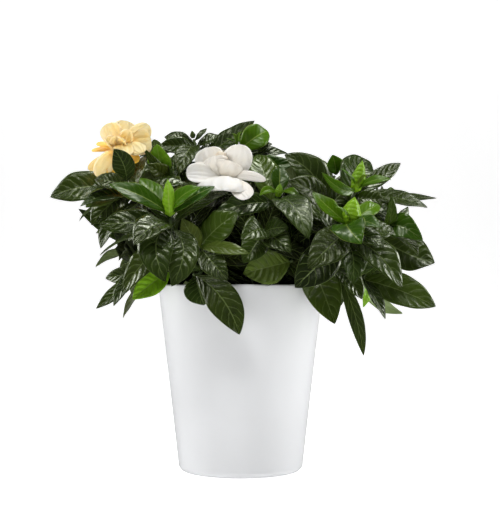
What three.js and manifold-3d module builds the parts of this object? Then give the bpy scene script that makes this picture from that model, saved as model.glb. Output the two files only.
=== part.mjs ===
// A potted gardenia: a white tapered pot, its soil, eleven leafy stems that stand in it, the bright young
// tips of their shoots, and a white and a yellow bloom.
// Millimetres, +Z up, -Y towards the viewer. The origin is the middle of the pot's flat foot.
import * as THREE from "three";
import { mergeVertices } from "three/addons/utils/BufferGeometryUtils.js";
import Module from "manifold-3d";

const wasm = await Module();
wasm.setup();

// Driving dimensions
const POT = { height: 158, rimRadius: 70, footRadius: 52, wall: 4.5, footFillet: 6.5, lip: 1.6, sides: 40 };
const SOIL = { below: 12, dome: 3, sides: 20, wallGap: 0.5, holeDepth: 26, holeSides: 6, collar: 5 };
const STEM = { trunk: 3.1, branch: 1.9, sides: 4, trunkSteps: 5, branchSteps: 3, bend: 0.45, start: 0.04 };
const LEAF = { length: 54, widthShare: 0.43, thick: 1.5, fold: 0.26, arch: 0.13, face: 0.5 };
const LEAF_RINGS = { spike: [0.4], plain: [0.3, 0.66], wide: [0.28, 0.58, 0.84] };
const LEAF_WIDTHS = { plain: 8, wide: 19 };
const PETAL = { thick: 1.5, cup: 0.35, arch: 0.1, blunt: 5, wide: 16, peak: 0.745 };
const PETAL_RINGS = { narrow: [0.5], wide: [0.36, 0.72, 0.94] };
const KNOB = { radius: 4.2, around: 8, up: 5 };
const BUD = { sides: 6, seat: 0.9, upTurn: 0.8, rootShare: 0.2, rootMost: 2.4 };
const WHORL = { first: 8, apart: 12, leaves: 3, behind: 2, pitch: 48, opening: 17, sag: 0.12, more: 0.4 };
const WHORL_SIZES = { first: 0.82, growth: 0.07, least: 0.88, spread: 0.26 };
const WHORL_VARIES = { seed: 20, turn: 24, pitch: 14, seenFrom: [0.31, 0.17, 0.94] };
const CROWN = { halfWidth: 150, halfDepth: 140, halfHeight: 80, middle: 202 };

// Clear air: between pieces that touch, and round a leaf that passes another node. The share of a leaf's
// length next to its stem may meet its neighbours.
const GAP = 0.3;
const CLEAR = 0.5;
const STALK_SHARE = 0.2;

// What a leaf tries in turn until it is clear: shifts in depth, or in pitch and turn.
const TRIES = {
  depth: [0, -6, 6, -12, 12, -18, 18, -26, 26],
  pitch: [0, -14, 14, -26, 26, 10, -10, 38, -34],
  turn: [0, 12, -12, -22, 22, 34, -34, 50, -50],
};

const LOOKS = {
  pot: { color: 0xf2f2f1, roughness: 0.35 },
  soil: { color: 0x2a1d15, roughness: 1 },
  leaf: { color: 0x24401c, roughness: 0.45 },
  young: { color: 0x6c9a1f, roughness: 0.4 },
};

// Places on the plant are read from the front: across and up in the plane through the pot's axis,
// as an eye at this distance and height sees them, and the depth behind that plane.
const EYE = { distance: 1105, height: 161 };
const TO_EYE = new THREE.Vector3(0, -1, 0);

// Each leaf is [distance down the stem, across, up, depth, width, bends]: where its tip shows.
// A young leaf leaves out the distance, and belongs to the shoot's bright tip.
const STEMS = {
  front_left: {
    root: [-15, -27],
    fork: [-28, 182, -46],
    shoots: {
      front_left: {
        top: [-60, 214, -84],
        lean: 10,
        bud: [30, 12],
        young: [
          [-112, 243, -88, 18, { arch: 0.08 }],
          [-86, 248, -78, 16, { arch: 0.06 }],
          [-34, 240, -92, 15, { sweep: -0.06 }],
          [-22, 241, -80, 15, { arch: 0.14, sweep: 0.06 }],
        ],
        leaves: [
          [7, -8, 238, -66, 15, {}],
          [8, -91, 191, -116, 26, { arch: 0.2 }],
          [6, -64, 160, -112, 28, { arch: 0.2, sweep: 0.16, face: 0.8 }],
          [11, -59, 156, -104, 25, { arch: 0.18, sweep: -0.2, face: 0.8 }],
          [13, -121, 207, -84, 24, {}],
          [20, -120, 182, -90, 20, { roll: 55 }],
          [24, -100, 150, -84, 21, { arch: 0.2 }],
        ],
      },
      rim_left: {
        top: [-40, 166, -74],
        lean: 82,
        leaves: [
          [2, -1, 115, -80, 26, { arch: 0.2, sweep: -0.12, face: 0.8 }],
          [4, -31, 140, -88, 24, { arch: 0.2, face: 0.8 }],
        ],
      },
      skirt_left: {
        top: [-84, 170, -48],
        lean: 78,
        leaves: [
          [12, -102, 168, -36, 13, { roll: 170 }],
          [12, -115, 163, -24, 14, {}],
          [4, -123, 137, -44, 13, { arch: 0.02 }],
          [3, -108, 139, -60, 14, { arch: 0.16 }],
          [22, -100, 129, -70, 13, { roll: 75, arch: 0.1 }],
          [28, -92, 145, -60, 20, { arch: 0.05, face: 0.8 }],
        ],
      },
    },
  },
  left: {
    root: [-28, -6],
    fork: [-50, 200, -12],
    shoots: {
      far_left: {
        top: [-106, 240, -12],
        lean: 62,
        leaves: [
          [4, -162, 232, -22, 28, { arch: 0.2, face: 0.6 }],
          [8, -146, 234, 0, 21, {}],
          [5, -132, 223, -42, 20, { face: 0.9 }],
          [12, -127, 208, -36, 24, { arch: 0.16, face: 0.8 }],
          [24, -119, 188, -34, 22, {}],
          [18, -107, 219, 12, 22, {}],
        ],
      },
      left_low: {
        top: [-84, 187, 14],
        lean: 60,
        leaves: [
          [2, -138, 222, -8, 13, { arch: -0.12, face: 0.9 }],
        ],
      },
      yellow_bloom: { top: [-101, 266, -28], lean: 16, bloom: "yellow", leaves: [] },
      under_bloom: {
        top: [-98, 246, -68],
        lean: 34,
        leaves: [
          [2, -108, 273, -80, 18, { arch: 0.06, sweep: 0.1, face: 1 }],
          [8, -78, 236, -72, 14, {}],
          [9, -124, 247, -52, 15, {}],
        ],
      },
    },
  },
  upper_left: {
    root: [-17, 13],
    fork: [-30, 216, 4],
    shoots: {
      upper_left: {
        top: [-64, 250, -22],
        lean: 38,
        bud: [10, 6],
        young: [
          [-71, 277, -46, 20, { face: 0.8 }],
        ],
        leaves: [
          [10, -88, 263, -4, 22, {}],
          [12, -82, 246, -10, 20, {}],
          [6, -74, 281, -8, 14, {}],
          [8, -83, 274, -46, 8, {}],
          [3, -80, 260, -52, 16, { arch: 0.15, face: 0.9 }],
          [9, -50, 236, -52, 16, {}],
        ],
        whorls: 2,
      },
      crest_left: {
        top: [-40, 281, 14],
        lean: 20,
        bud: [7, 5],
        young: [],
        leaves: [
          [2, -29, 290.5, 16, 7, { arch: 0.1, sweep: 0.12 }],
          [6, -65, 283, 20, 13, { roll: 15, face: 0.8 }],
          [10, -70, 275, 2, 16, { face: 0.8 }],
          [8, -52, 251, -28, 20, { arch: 0.18, face: 0.7 }],
          [19, 12, 297, -4, 21, { arch: 0.02, sweep: 0.05, face: 0.6 }],
          [8, -12, 281, 22, 16, {}],
          [13, -14, 266, 20, 22, {}],
          [22, -44, 240, -20, 20, {}],
        ],
        whorls: 3,
      },
    },
  },
  centre: {
    root: [0, -7],
    fork: [1, 208, -14],
    shoots: {
      white_bloom: { top: [-13, 242, -44], lean: 12, bloom: "white", leaves: [] },
      crest: {
        top: [-2, 268, -2],
        lean: 8,
        bud: [9, 6],
        young: [
          [-13, 282, -22, 3, {}],
          [-8, 286, -20, 3, {}],
          [-4, 285, -16, 3, {}],
          [1, 287, -18, 3, {}],
          [23, 288, 6, 22, { arch: 0.3, face: 0.9 }],
        ],
        leaves: [
          [22, 46, 261, -30, 20, { face: 0.8 }],
          [4, 27, 277, -12, 15, {}],
          [8, 40, 269, 6, 14, {}],
        ],
        whorls: 3,
      },
      middle: {
        top: [31, 231, -60],
        lean: 42,
        bud: [12, 7],
        young: [
          [33, 257, -62, 16, {}],
          [16, 233, -72, 7, { sweep: 0.2 }],
          [50, 229, -76, 7, { sweep: -0.2 }],
        ],
        leaves: [
          [12, 14, 268, -22, 24, { arch: 0.14, face: 0.8 }],
          [6, -22, 219, -88, 20, {}],
          [5, 58, 196, -98, 27, { arch: 0.22 }],
        ],
      },
    },
  },
  front: {
    root: [6, -30],
    fork: [2, 184, -46],
    shoots: {
      heart: {
        top: [20, 204, -74],
        lean: 50,
        leaves: [
          [3, 0, 196, -106, 22, { arch: 0.2 }],
          [4, 41, 206, -96, 17, {}],
          [8, 43, 185, -94, 21, { arch: 0.18 }],
          [9, 2, 176, -92, 22, { arch: 0.16 }],
        ],
      },
      heart_left: {
        top: [-36, 191, -72],
        lean: 50,
        leaves: [
          [3, -2, 219, -82, 26, { arch: 0.1 }],
          [4, 8, 184, -90, 11, {}],
          [4, -50, 214, -86, 16, {}],
          [4, -11, 161, -92, 20, { arch: 0.12 }],
        ],
      },
      rim_middle: {
        top: [44, 178, -62],
        lean: 72,
        leaves: [
          [3, 2, 167, -84, 28, { arch: 0.04, face: 0.8 }],
          [8, 24, 190, -84, 18, {}],
        ],
      },
    },
  },
  front_right: {
    root: [24, -22],
    fork: [50, 186, -50],
    shoots: {
      front_right: {
        top: [91, 205, -84],
        lean: 28,
        bud: [25, 17],
        young: [
          [103, 192, -118, 28, { arch: 0.2, sweep: 0.12, face: 0.9 }],
          [61, 236, -86, 15, { sweep: -0.12 }],
          [79, 224, -94, 3, {}],
          [85, 222, -100, 3, {}],
          [119, 206, -92, 16, {}],
          [118, 225, -78, 14, {}],
        ],
        leaves: [
          [10, 137, 155, -106, 27, { arch: 0.2 }],
          [7, 57, 171, -122, 28, { arch: 0.2 }],
          [13, 95, 157, -106, 24, { arch: 0.26 }],
          [17, 46, 155, -98, 30, { arch: 0.14 }],
          [6, 122, 189, -98, 19, {}],
          [10, 131, 203, -62, 18, {}],
        ],
      },
      rim_right: {
        top: [82, 172, -66],
        lean: 70,
        leaves: [
          [30, 80, 124, -88, 30, { arch: 0.14, face: 0.9 }],
          [3, 103, 145, -84, 19, {}],
          [1, 104.5, 97, -58, 12, { roll: 30, arch: 0.1, sweep: -0.04 }],
        ],
      },
      skirt_right: {
        top: [106, 164, -36],
        lean: 76,
        leaves: [
          [1, 104, 138, -34, 9, {}],
          [3, 112, 184, -58, 20, {}],
          [4, 123, 128, -50, 15, { arch: 0.1, sweep: 0.08 }],
          [5, 138, 133, -24, 16, { roll: 165 }],
          [9, 166, 139, -40, 28, { arch: 0.1 }],
        ],
      },
    },
  },
  upper_right: {
    root: [17, 5],
    fork: [42, 206, -6],
    shoots: {
      upper_right: {
        top: [97, 235, -40],
        lean: 24,
        bud: [27, 12],
        young: [
          [128, 247, -54, 10, {}],
          [110, 251, -42, 4, {}],
          [84, 257, -42, 3, {}],
          [88, 253, -50, 3, {}],
          [69, 253, -60, 10, { sweep: -0.2, face: 0.8 }],
        ],
        leaves: [
          [8, 124, 227, -36, 18, {}],
          [5, 136, 261, -20, 15, { arch: 0.04 }],
          [4, 83, 244, -70, 14, {}],
          [8, 109, 263, -16, 30, { arch: 0.1, sweep: -0.12, face: 0.9 }],
          [5, 159, 223, -30, 16, { arch: 0.1 }],
          [6, 167, 231, -10, 9, { arch: 0.02 }],
        ],
      },
      shoulder: {
        top: [76, 226, -40],
        lean: 46,
        leaves: [
          [2, 37, 268, -48, 27, { arch: 0.12, sweep: 0.08, face: 0.7 }],
          [6, 40, 246, -76, 22, { arch: 0.14, sweep: 0.03, face: 0.7 }],
          [4, 97, 246, -26, 24, {}],
        ],
      },
      crest_right: {
        top: [80, 250, 20],
        lean: 24,
        bud: [9, 6],
        young: [
          [78, 268, 10, 16, { arch: 0.2, face: 0.9 }],
          [88, 263, 18, 6, {}],
        ],
        leaves: [
          [6, 58, 262, 30, 18, {}],
          [5, 85, 261, 12, 14, {}],
        ],
      },
    },
  },
  right: {
    root: [29, -2],
    fork: [62, 192, -2],
    shoots: {
      far_right: {
        top: [124, 224, -4],
        lean: 56,
        bud: [10, 6],
        young: [],
        leaves: [
          [6, 130, 239, 10, 14, {}],
        ],
      },
      right_back: { top: [112, 178, 24], lean: 72, leaves: [], whorls: 3 },
      right_low: {
        top: [122, 200, -18],
        lean: 70,
        leaves: [
          [6, 165, 176, -24, 33, { arch: -0.14, face: 0.7 }],
          [2, 151, 182, -44, 18, { arch: 0.16 }],
          [1, 128, 234, -54, 11, { face: 0.8 }],
          [0.5, 155, 195, -46, 23, { arch: 0.34, sweep: -0.08, face: 0.7 }],
        ],
      },
    },
  },
  back_left: {
    root: [-22, 20],
    fork: [-46, 196, 42],
    shoots: {
      back_left_high: {
        top: [-72, 240, 52],
        lean: 40,
        bud: [12, 7],
        young: [],
        leaves: [],
        whorls: 3,
      },
      back_left_side: {
        top: [-84, 208, 60],
        lean: 52,
        bud: [12, 7],
        young: [],
        leaves: [],
        whorls: 2,
      },
      back_left_low: { top: [-70, 190, 88], lean: 62, leaves: [], whorls: 3 },
    },
  },
  back: {
    root: [0, 24],
    fork: [0, 202, 50],
    shoots: {
      back_high: { top: [-14, 246, 62], lean: 32, bud: [14, 7], young: [], leaves: [], whorls: 2 },
      back_middle: { top: [2, 214, 104], lean: 56, bud: [12, 7], young: [], leaves: [], whorls: 2 },
      back_low_left: { top: [-36, 180, 108], lean: 72, leaves: [], whorls: 3 },
      back_low_right: { top: [38, 182, 106], lean: 72, leaves: [], whorls: 3 },
    },
  },
  back_right: {
    root: [21, 19],
    fork: [46, 194, 42],
    shoots: {
      back_right_high: {
        top: [46, 236, 58],
        lean: 40,
        bud: [12, 7],
        young: [],
        leaves: [],
        whorls: 3,
      },
      back_right_side: {
        top: [106, 200, 48],
        lean: 62,
        bud: [12, 7],
        young: [],
        leaves: [],
        whorls: 3,
      },
      back_right_low: { top: [80, 186, 84], lean: 66, leaves: [], whorls: 3 },
    },
  },
};

// Petals are [across, up, depth, width, bends], from the outer ring inwards.
const BLOOMS = {
  white: {
    axis: [0.02, -0.15, 1],
    look: { color: 0xf4efe6, roughness: 0.6 },
    petals: [
      [12, 256, -16, 22, { cup: 0.2 }],
      [-34, 262, -18, 22, { cup: 0.2 }],
      [-14, 272, -34, 30, { arch: 0.05, cup: 0.2, face: 0.9 }],
      [-30, 274, -49, 25, { arch: 0.05, cup: -0.15, sweep: -0.06, face: 1 }],
      [-41, 259, -56, 18, { arch: 0.06, cup: -0.2, face: 0.9, blunt: 1.5 }],
      [-46.5, 250.5, -66, 18, { arch: 0.12, cup: 0.3, face: 0.7, blunt: 6 }],
      [-15, 237.5, -82, 42, { arch: 0.17, cup: -0.22, face: 0.5, blunt: 8 }],
      [7, 230.5, -84, 15, { cup: 0.1, face: 0.7, blunt: 9 }],
      [21.5, 246, -66, 12, { cup: -0.1, sweep: -0.08, face: 0.9, blunt: 1.5 }],
      [-18, 271, -52, 10, { arch: 0.05, cup: 0.5, face: 1 }],
      [-11, 270, -53, 10, { arch: 0.05, cup: 0.5, face: 1 }],
      [-14.5, 268, -55, 8, { cup: 0.5, face: 1 }],
      [-1, 277, -57, 32, { arch: 0.08, cup: -0.18, sweep: 0.1, face: 1, blunt: 2 }],
      [-23, 267, -59, 24, { arch: 0.14, cup: -0.2, sweep: -0.06, face: 1, blunt: 4 }],
      [-9, 263, -62, 27, { arch: 0.18, cup: -0.25, face: 1, blunt: 4 }],
    ],
  },
  yellow: {
    axis: [0.05, -0.12, 1],
    look: { color: 0xf2cf7c, roughness: 0.6 },
    petals: [
      [-130, 255.5, -48, 13, { arch: 0.14, cup: -0.1, sweep: -0.06, face: 0.7, blunt: 3 }],
      [-121, 248, -58, 17, { arch: 0.2, cup: 0.2, face: 0.7 }],
      [-110, 247.5, -62, 13, { cup: -0.1, face: 0.9 }],
      [-86.5, 262, -60, 11, { cup: 0.2, face: 0.9 }],
      [-84, 269, -61, 19, { arch: 0.2, cup: -0.15, face: 0.5 }],
      [-97, 267, -66, 17, { arch: 0.2, cup: -0.1, face: 0.5 }],
      [-127, 271, -42, 9, { arch: 0.06, cup: 0.3, face: 0.5, blunt: 1.5 }],
      [-123, 276.5, -42, 12, { arch: 0.06, cup: 0.3, face: 0.5, blunt: 1.5 }],
      [-114, 294.5, -46, 19, { arch: 0.02, cup: 0.15, face: 0.9 }],
      [-97, 297, -36, 20, { cup: 0.2, face: 0.9 }],
      [-77, 292.5, -46, 25, { arch: 0.08, cup: -0.1, face: 0.9, blunt: 1.8 }],
      [-76, 281, -48, 20, { arch: 0.08, cup: 0.05, face: 0.9, blunt: 9 }],
      [-94, 289, -54, 15, { arch: 0.05, cup: 0.2, face: 1, blunt: 3 }],
      [-115, 281, -56, 14, { arch: 0.05, cup: 0.15, face: 0.8, blunt: 3 }],
      [-107, 284, -58, 14, { arch: 0.05, cup: 0.15, face: 1, blunt: 3 }],
      [-100, 282, -60, 14, { arch: 0.05, cup: 0.2, face: 1, blunt: 3 }],
      [-88, 290, -10, 24, { arch: -0.2, cup: 0.4 }],
    ],
  },
};

// The point that an eye in front sees at across and up, at a depth behind the pot's axis.
function seen([across, up, depth]) {
  const share = (EYE.distance + depth) / EYE.distance;
  return new THREE.Vector3(across * share, depth, EYE.height + (up - EYE.height) * share);
}

// Numbers from 0 to 1, the same on every run: the state times 48271, modulo a prime.
function drawsFrom(seed) {
  const prime = 2147483647;
  let state = seed;
  return () => {
    state = (state * 48271) % prime;
    return state / prime;
  };
}

const group = new THREE.Group();

// A closed three.js geometry as a solid, with shared vertices merged and faces outwards.
function solid(geometry) {
  const bare = geometry.clone();
  for (const name of ["normal", "uv"]) bare.deleteAttribute(name);
  const merged = mergeVertices(bare, 1e-4);
  const made = new wasm.Manifold(
    new wasm.Mesh({
      numProp: 3,
      vertProperties: merged.attributes.position.array,
      triVerts: new Uint32Array(merged.index.array),
    }),
  );
  if (made.volume() <= 0) throw new Error("a solid is inside out");
  return made;
}

// A solid's vertices and triangles as a three.js geometry with flat shading.
function geometryOf(body) {
  const mesh = body.getMesh();
  return new THREE.BufferGeometry()
    .setAttribute("position", new THREE.BufferAttribute(new Float32Array(mesh.vertProperties), 3))
    .setIndex(new THREE.BufferAttribute(new Uint32Array(mesh.triVerts), 1))
    .toNonIndexed();
}

function addNode(name, body, look) {
  const geometry = geometryOf(body);
  geometry.computeVertexNormals();
  const mesh = new THREE.Mesh(geometry, new THREE.MeshStandardMaterial({ ...look, metalness: 0 }));
  mesh.name = name;
  group.add(mesh);
}

// Half width along a leaf, as a share: tapered at its stalk, widest past the middle, drawn out to a point.
const leafProfile = (t) => Math.pow(Math.sin(Math.PI * Math.pow(t, 1.1)), 0.85);

// Half width along a petal, as a share: a narrow claw that opens to a broad round end.
const petalProfile = (t, blunt) => (Math.pow(t, 0.7) * Math.sqrt(1 - Math.pow(t, blunt))) / PETAL.peak;

// A leaf or petal as a closed sheet from base to tip. It arches along its normal and sweeps sideways,
// by shares of its length; its margins rise from the midrib, straight in a leaf and curved in a petal.
function blade(spec, grow = 0) {
  const { base, tip, up, roll, arch, sweep, rings, across, profile, raise } = spec;
  const chord = tip.clone().sub(base);
  const length = chord.length();
  const along = chord.clone().normalize();
  const side = new THREE.Vector3().crossVectors(along, up).normalize();
  side.applyAxisAngle(along, THREE.MathUtils.degToRad(roll));
  const normal = new THREE.Vector3().crossVectors(side, along);
  const bow = normal.clone().multiplyScalar(arch * length).addScaledVector(side, sweep * length);
  const half = spec.width / 2 + grow;
  const thick = spec.thick / 2 + grow;
  const steps = Array.from({ length: across + 1 }, (_, i) => (2 * i) / across - 1);
  const rows = rings.map((t) => {
    const centre = base.clone().addScaledVector(chord, t).addScaledVector(bow, 4 * t * (1 - t));
    const forward = chord.clone().addScaledVector(bow, 4 * (1 - 2 * t)).normalize();
    const edge = side.clone().addScaledVector(forward, -side.dot(forward)).normalize();
    const face = new THREE.Vector3().crossVectors(edge, forward);
    const reach = half * profile(t);
    const at = (v, lift) =>
      centre
        .clone()
        .addScaledVector(edge, reach * v)
        .addScaledVector(face, reach * raise(v) + lift * thick * (1 - v * v));
    return [...steps.map((v) => at(v, 1)), ...steps.slice(1, -1).reverse().map((v) => at(v, -1))];
  });
  const root = [base.clone().addScaledVector(normal, -thick), base.clone().addScaledVector(normal, thick)];
  return closeRings(root, rows, across, tip);
}

// Rings of points joined into a closed surface, from a short edge at the root to a point at the tip.
// Each ring goes across its upper side and back along its lower side.
function closeRings(root, rows, across, tip) {
  const size = rows[0].length;
  const points = [...root, ...rows.flat(), tip];
  const onRoot = (i) => (i >= 1 && i <= across ? 1 : 0);
  const index = (row, i) => (row < 0 ? onRoot(i) : 2 + row * size + i);
  const faces = [];
  for (let row = -1; row < rows.length; row++) {
    for (let i = 0; i < size; i++) {
      const j = (i + 1) % size;
      const [a, b] = [index(row, i), index(row, j)];
      if (row === rows.length - 1) {
        faces.push(a, b, points.length - 1);
        continue;
      }
      const [c, d] = [index(row + 1, i), index(row + 1, j)];
      if (a !== b) faces.push(a, b, c);
      faces.push(b, d, c);
    }
  }
  return solid(new THREE.BufferGeometry().setFromPoints(points).setIndex(faces));
}

function leafRings(width) {
  if (width < LEAF_WIDTHS.plain) return LEAF_RINGS.spike;
  return width < LEAF_WIDTHS.wide ? LEAF_RINGS.plain : LEAF_RINGS.wide;
}

// A leaf's upper side faces the way that its shoot heads, turned by a share towards the viewer.
function leafSpec(base, tip, heading, width, bends) {
  const up = heading.clone().lerp(TO_EYE, bends.face ?? 0);
  return {
    base,
    tip,
    up,
    width,
    roll: bends.roll ?? 0,
    arch: bends.arch ?? LEAF.arch,
    sweep: bends.sweep ?? 0,
    thick: LEAF.thick,
    rings: leafRings(width),
    across: 2,
    profile: leafProfile,
    raise: (v) => LEAF.fold * Math.abs(v),
  };
}

// A petal's upper side faces its bloom's axis, turned by a share towards the viewer.
function petalSpec(base, tip, axis, width, bends) {
  const wide = width >= PETAL.wide;
  const face = bends.face ?? 0;
  const up = axis.clone().multiplyScalar(1 - face).addScaledVector(TO_EYE, face);
  return {
    base,
    tip,
    up,
    width,
    roll: 0,
    arch: bends.arch ?? PETAL.arch,
    sweep: bends.sweep ?? 0,
    thick: PETAL.thick,
    rings: wide ? PETAL_RINGS.wide : PETAL_RINGS.narrow,
    across: wide ? 4 : 2,
    profile: (t) => petalProfile(t, bends.blunt ?? PETAL.blunt),
    raise: (v) => (bends.cup ?? PETAL.cup) * v * v,
  };
}

// A round profile turned about the pot's axis, from [radius, height] pairs that start and end on it.
function turned(profile, sides) {
  const points = profile.map(([r, z]) => new THREE.Vector2(r, z));
  return solid(new THREE.LatheGeometry(points, sides).rotateX(Math.PI / 2));
}

// Points on a quarter turn about a centre, from one angle to another in degrees.
function arc([r, z], radius, from, to, count) {
  return Array.from({ length: count + 1 }, (_, i) => {
    const angle = THREE.MathUtils.degToRad(from + ((to - from) * i) / count);
    return [r + radius * Math.cos(angle), z + radius * Math.sin(angle)];
  });
}

function outerRadius(z) {
  return POT.footRadius + ((POT.rimRadius - POT.footRadius) * z) / POT.height;
}

function makePot() {
  const inner = (z) => outerRadius(z) - POT.wall;
  const fillet = POT.footFillet;
  const lip = POT.lip;
  return turned(
    [
      [0, 0],
      ...arc([outerRadius(fillet) - fillet, fillet], fillet, -90, -6, 3),
      ...arc([POT.rimRadius - lip, POT.height - lip], lip, 0, 90, 1),
      ...arc([inner(POT.height) + lip, POT.height - lip], lip, 90, 180, 1),
      [inner(POT.wall + fillet), POT.wall + fillet],
      [inner(POT.wall) - fillet, POT.wall],
      [0, POT.wall],
    ],
    POT.sides,
  );
}

function soilTop() {
  return POT.height - SOIL.below;
}

function makeSoil() {
  const reach = (z) => outerRadius(z) - POT.wall - SOIL.wallGap;
  const floor = POT.wall + GAP;
  const bevel = POT.footFillet + GAP;
  const top = soilTop();
  let body = turned(
    [
      [0, floor],
      [reach(floor) - bevel, floor],
      [reach(floor + bevel), floor + bevel],
      [reach(top), top],
      [0, top + SOIL.dome],
    ],
    SOIL.sides,
  );
  for (const { root } of Object.values(STEMS)) {
    const depth = SOIL.holeDepth;
    const radius = (STEM.trunk + GAP) / Math.cos(Math.PI / SOIL.holeSides);
    const hole = new THREE.CylinderGeometry(radius, radius, depth * 2, SOIL.holeSides);
    hole.rotateX(Math.PI / 2).translate(root[0], root[1], top);
    body = body.subtract(solid(hole));
  }
  return body;
}

// A round stem along a curve, as an extrusion of a section with few sides.
function stemSolid(curve, radius, steps) {
  const corners = Array.from({ length: STEM.sides }, (_, i) => {
    const angle = (2 * Math.PI * i) / STEM.sides;
    return new THREE.Vector2(radius * Math.cos(angle), radius * Math.sin(angle));
  });
  return solid(new THREE.ExtrudeGeometry(new THREE.Shape(corners), { steps, extrudePath: curve }));
}

// A trunk stands straight in its hole, and above the soil it bends to its fork.
function trunkOf([x, y], fork) {
  const foot = new THREE.Vector3(x, y, soilTop() - SOIL.holeDepth + GAP);
  const collar = new THREE.Vector3(x, y, soilTop() + SOIL.collar);
  const bend = collar.clone().setZ((collar.z + fork.z) / 2);
  const path = new THREE.CurvePath();
  path.add(new THREE.LineCurve3(foot, collar));
  path.add(new THREE.QuadraticBezierCurve3(collar, bend, fork));
  return path;
}

// The branch from a fork to a shoot's top, which it reaches leaning out from the pot's axis.
function branchOf(fork, shoot) {
  const top = seen(shoot.top);
  const lean = THREE.MathUtils.degToRad(shoot.lean);
  const out = new THREE.Vector3(top.x, top.y, 0).normalize();
  const heading = out.multiplyScalar(Math.sin(lean)).setZ(Math.cos(lean));
  const bend = top.clone().addScaledVector(heading, -STEM.bend * top.distanceTo(fork));
  return new THREE.QuadraticBezierCurve3(fork, bend, top);
}

// The place on a branch a distance back from its top, and the way that the branch heads there.
function onBranch(branch, back) {
  const t = Math.max(STEM.start, 1 - back / branch.getLength());
  return { base: branch.getPoint(t), heading: branch.getTangent(t) };
}

function insideCrown({ x, y, z }) {
  const { halfWidth, halfDepth, halfHeight, middle } = CROWN;
  return Math.hypot(x / halfWidth, y / halfDepth, (z - middle) / halfHeight) < 1;
}

// Every solid laid so far, with the node that it belongs to.
const laid = [];

function lay(owner, body) {
  laid.push({ owner, body, box: body.boundingBox() });
  return body;
}

const apart = (a, b) => [0, 1, 2].some((i) => a.min[i] > b.max[i] || b.min[i] > a.max[i]);

// True where a solid meets none of those laid that the test picks by their owner.
function meetsNone(body, picks) {
  const box = body.boundingBox();
  const near = laid.filter((other) => picks(other.owner) && !apart(box, other.box));
  return near.every((other) => body.intersect(other.body).isEmpty());
}

const isClear = (owner, spec) => meetsNone(blade(spec, CLEAR), (other) => other !== owner);

// A leaf may meet its own node only along its stalk.
function isFree(owner, spec) {
  const outer = blade({ ...spec, base: spec.base.clone().lerp(spec.tip, STALK_SHARE) });
  return meetsNone(outer, (other) => other === owner);
}

// Of several tries for one leaf, the first that meets nothing. Where none does, one that meets only its own
// node will do for a leaf placed by hand, and otherwise there is no leaf.
function firstClear(owner, tries, mayCross = true) {
  const clear = tries.filter((spec) => isClear(owner, spec));
  const spec = clear.find((each) => isFree(owner, each)) ?? (mayCross ? clear[0] : undefined);
  return spec ? lay(owner, blade(spec)) : null;
}

// A leaf whose tip is placed by hand moves only in depth, so from the front it stays where it shows.
function triesFrom(base, heading, [across, up, depth, width, bends]) {
  const facing = { face: LEAF.face, ...bends };
  const tips = TRIES.depth.map((shift) => seen([across, up, depth + shift]));
  return tips.map((tip) => leafSpec(base, tip, heading, width, facing));
}

function placedTries(branch, [back, ...row]) {
  const { base, heading } = onBranch(branch, back);
  return triesFrom(base, heading, row);
}

// A leaf of a whorl, by rule: it opens from the branch, sags, and tries other pitches and turns.
function whorlTries(branch, ring, place, draw) {
  const { base, heading } = onBranch(branch, WHORL.first + WHORL.apart * ring);
  const aside = heading.clone().cross(new THREE.Vector3(...WHORL_VARIES.seenFrom)).normalize();
  const turn = (360 / WHORL.leaves) * (place + ring / 2) + WHORL_VARIES.turn * (draw() - 0.5);
  const pitch = WHORL.pitch + WHORL.opening * ring + WHORL_VARIES.pitch * (draw() - 0.5);
  const size = WHORL_SIZES.least + WHORL_SIZES.spread * draw();
  const length = LEAF.length * size * (WHORL_SIZES.first + WHORL_SIZES.growth * ring);
  return TRIES.pitch.map((shift, i) => {
    const out = aside.clone().applyAxisAngle(heading, THREE.MathUtils.degToRad(turn + TRIES.turn[i]));
    const angle = THREE.MathUtils.degToRad(pitch + shift);
    const way = heading.clone().multiplyScalar(Math.cos(angle)).addScaledVector(out, Math.sin(angle));
    const tip = base.clone().addScaledVector(way, length);
    tip.z -= WHORL.sag * length * (1 + WHORL.more * ring);
    return { ...leafSpec(base, tip, heading, length * LEAF.widthShare, {}), rings: LEAF_RINGS.plain };
  });
}

// A bud sits on its shoot's top, and turns up more than the shoot does.
function budSeat(branch) {
  const { base, heading } = onBranch(branch, 0);
  const seat = base.clone().addScaledVector(heading, BUD.seat);
  return { seat, heading, upright: heading.clone().add(new THREE.Vector3(0, 0, BUD.upTurn)).normalize() };
}

function budSolid(branch, [height, width]) {
  const { seat, upright } = budSeat(branch);
  const profile = [
    [0, 0],
    [0.31, 0.08],
    [0.5, 0.42],
    [0.25, 0.8],
    [0, 1],
  ].map(([radius, up]) => new THREE.Vector2(radius * width, up * height));
  const turn = new THREE.Quaternion().setFromUnitVectors(new THREE.Vector3(0, 1, 0), upright);
  const geometry = new THREE.LatheGeometry(profile, BUD.sides).applyQuaternion(turn);
  return solid(geometry.translate(seat.x, seat.y, seat.z));
}

// Young leaves spring from the bud near its foot.
function youngTries(branch, [height], row) {
  const { seat, heading, upright } = budSeat(branch);
  const up = Math.min(BUD.rootMost, BUD.rootShare * height);
  return triesFrom(seat.clone().addScaledVector(upright, up), heading, row);
}

// A bloom sits on its shoot's top: a round knob that its petals grow from.
function bloomSolid(branch, { axis, petals }) {
  const { base, heading } = onBranch(branch, 0);
  const centre = base.clone().addScaledVector(heading, KNOB.radius + GAP);
  const knob = new THREE.SphereGeometry(KNOB.radius, KNOB.around, KNOB.up);
  const bodies = petals.map(([across, height, depth, width, bends]) =>
    blade(petalSpec(centre, seen([across, height, depth]), new THREE.Vector3(...axis), width, bends)),
  );
  return fused([solid(knob.translate(centre.x, centre.y, centre.z)), ...bodies]);
}

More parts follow.
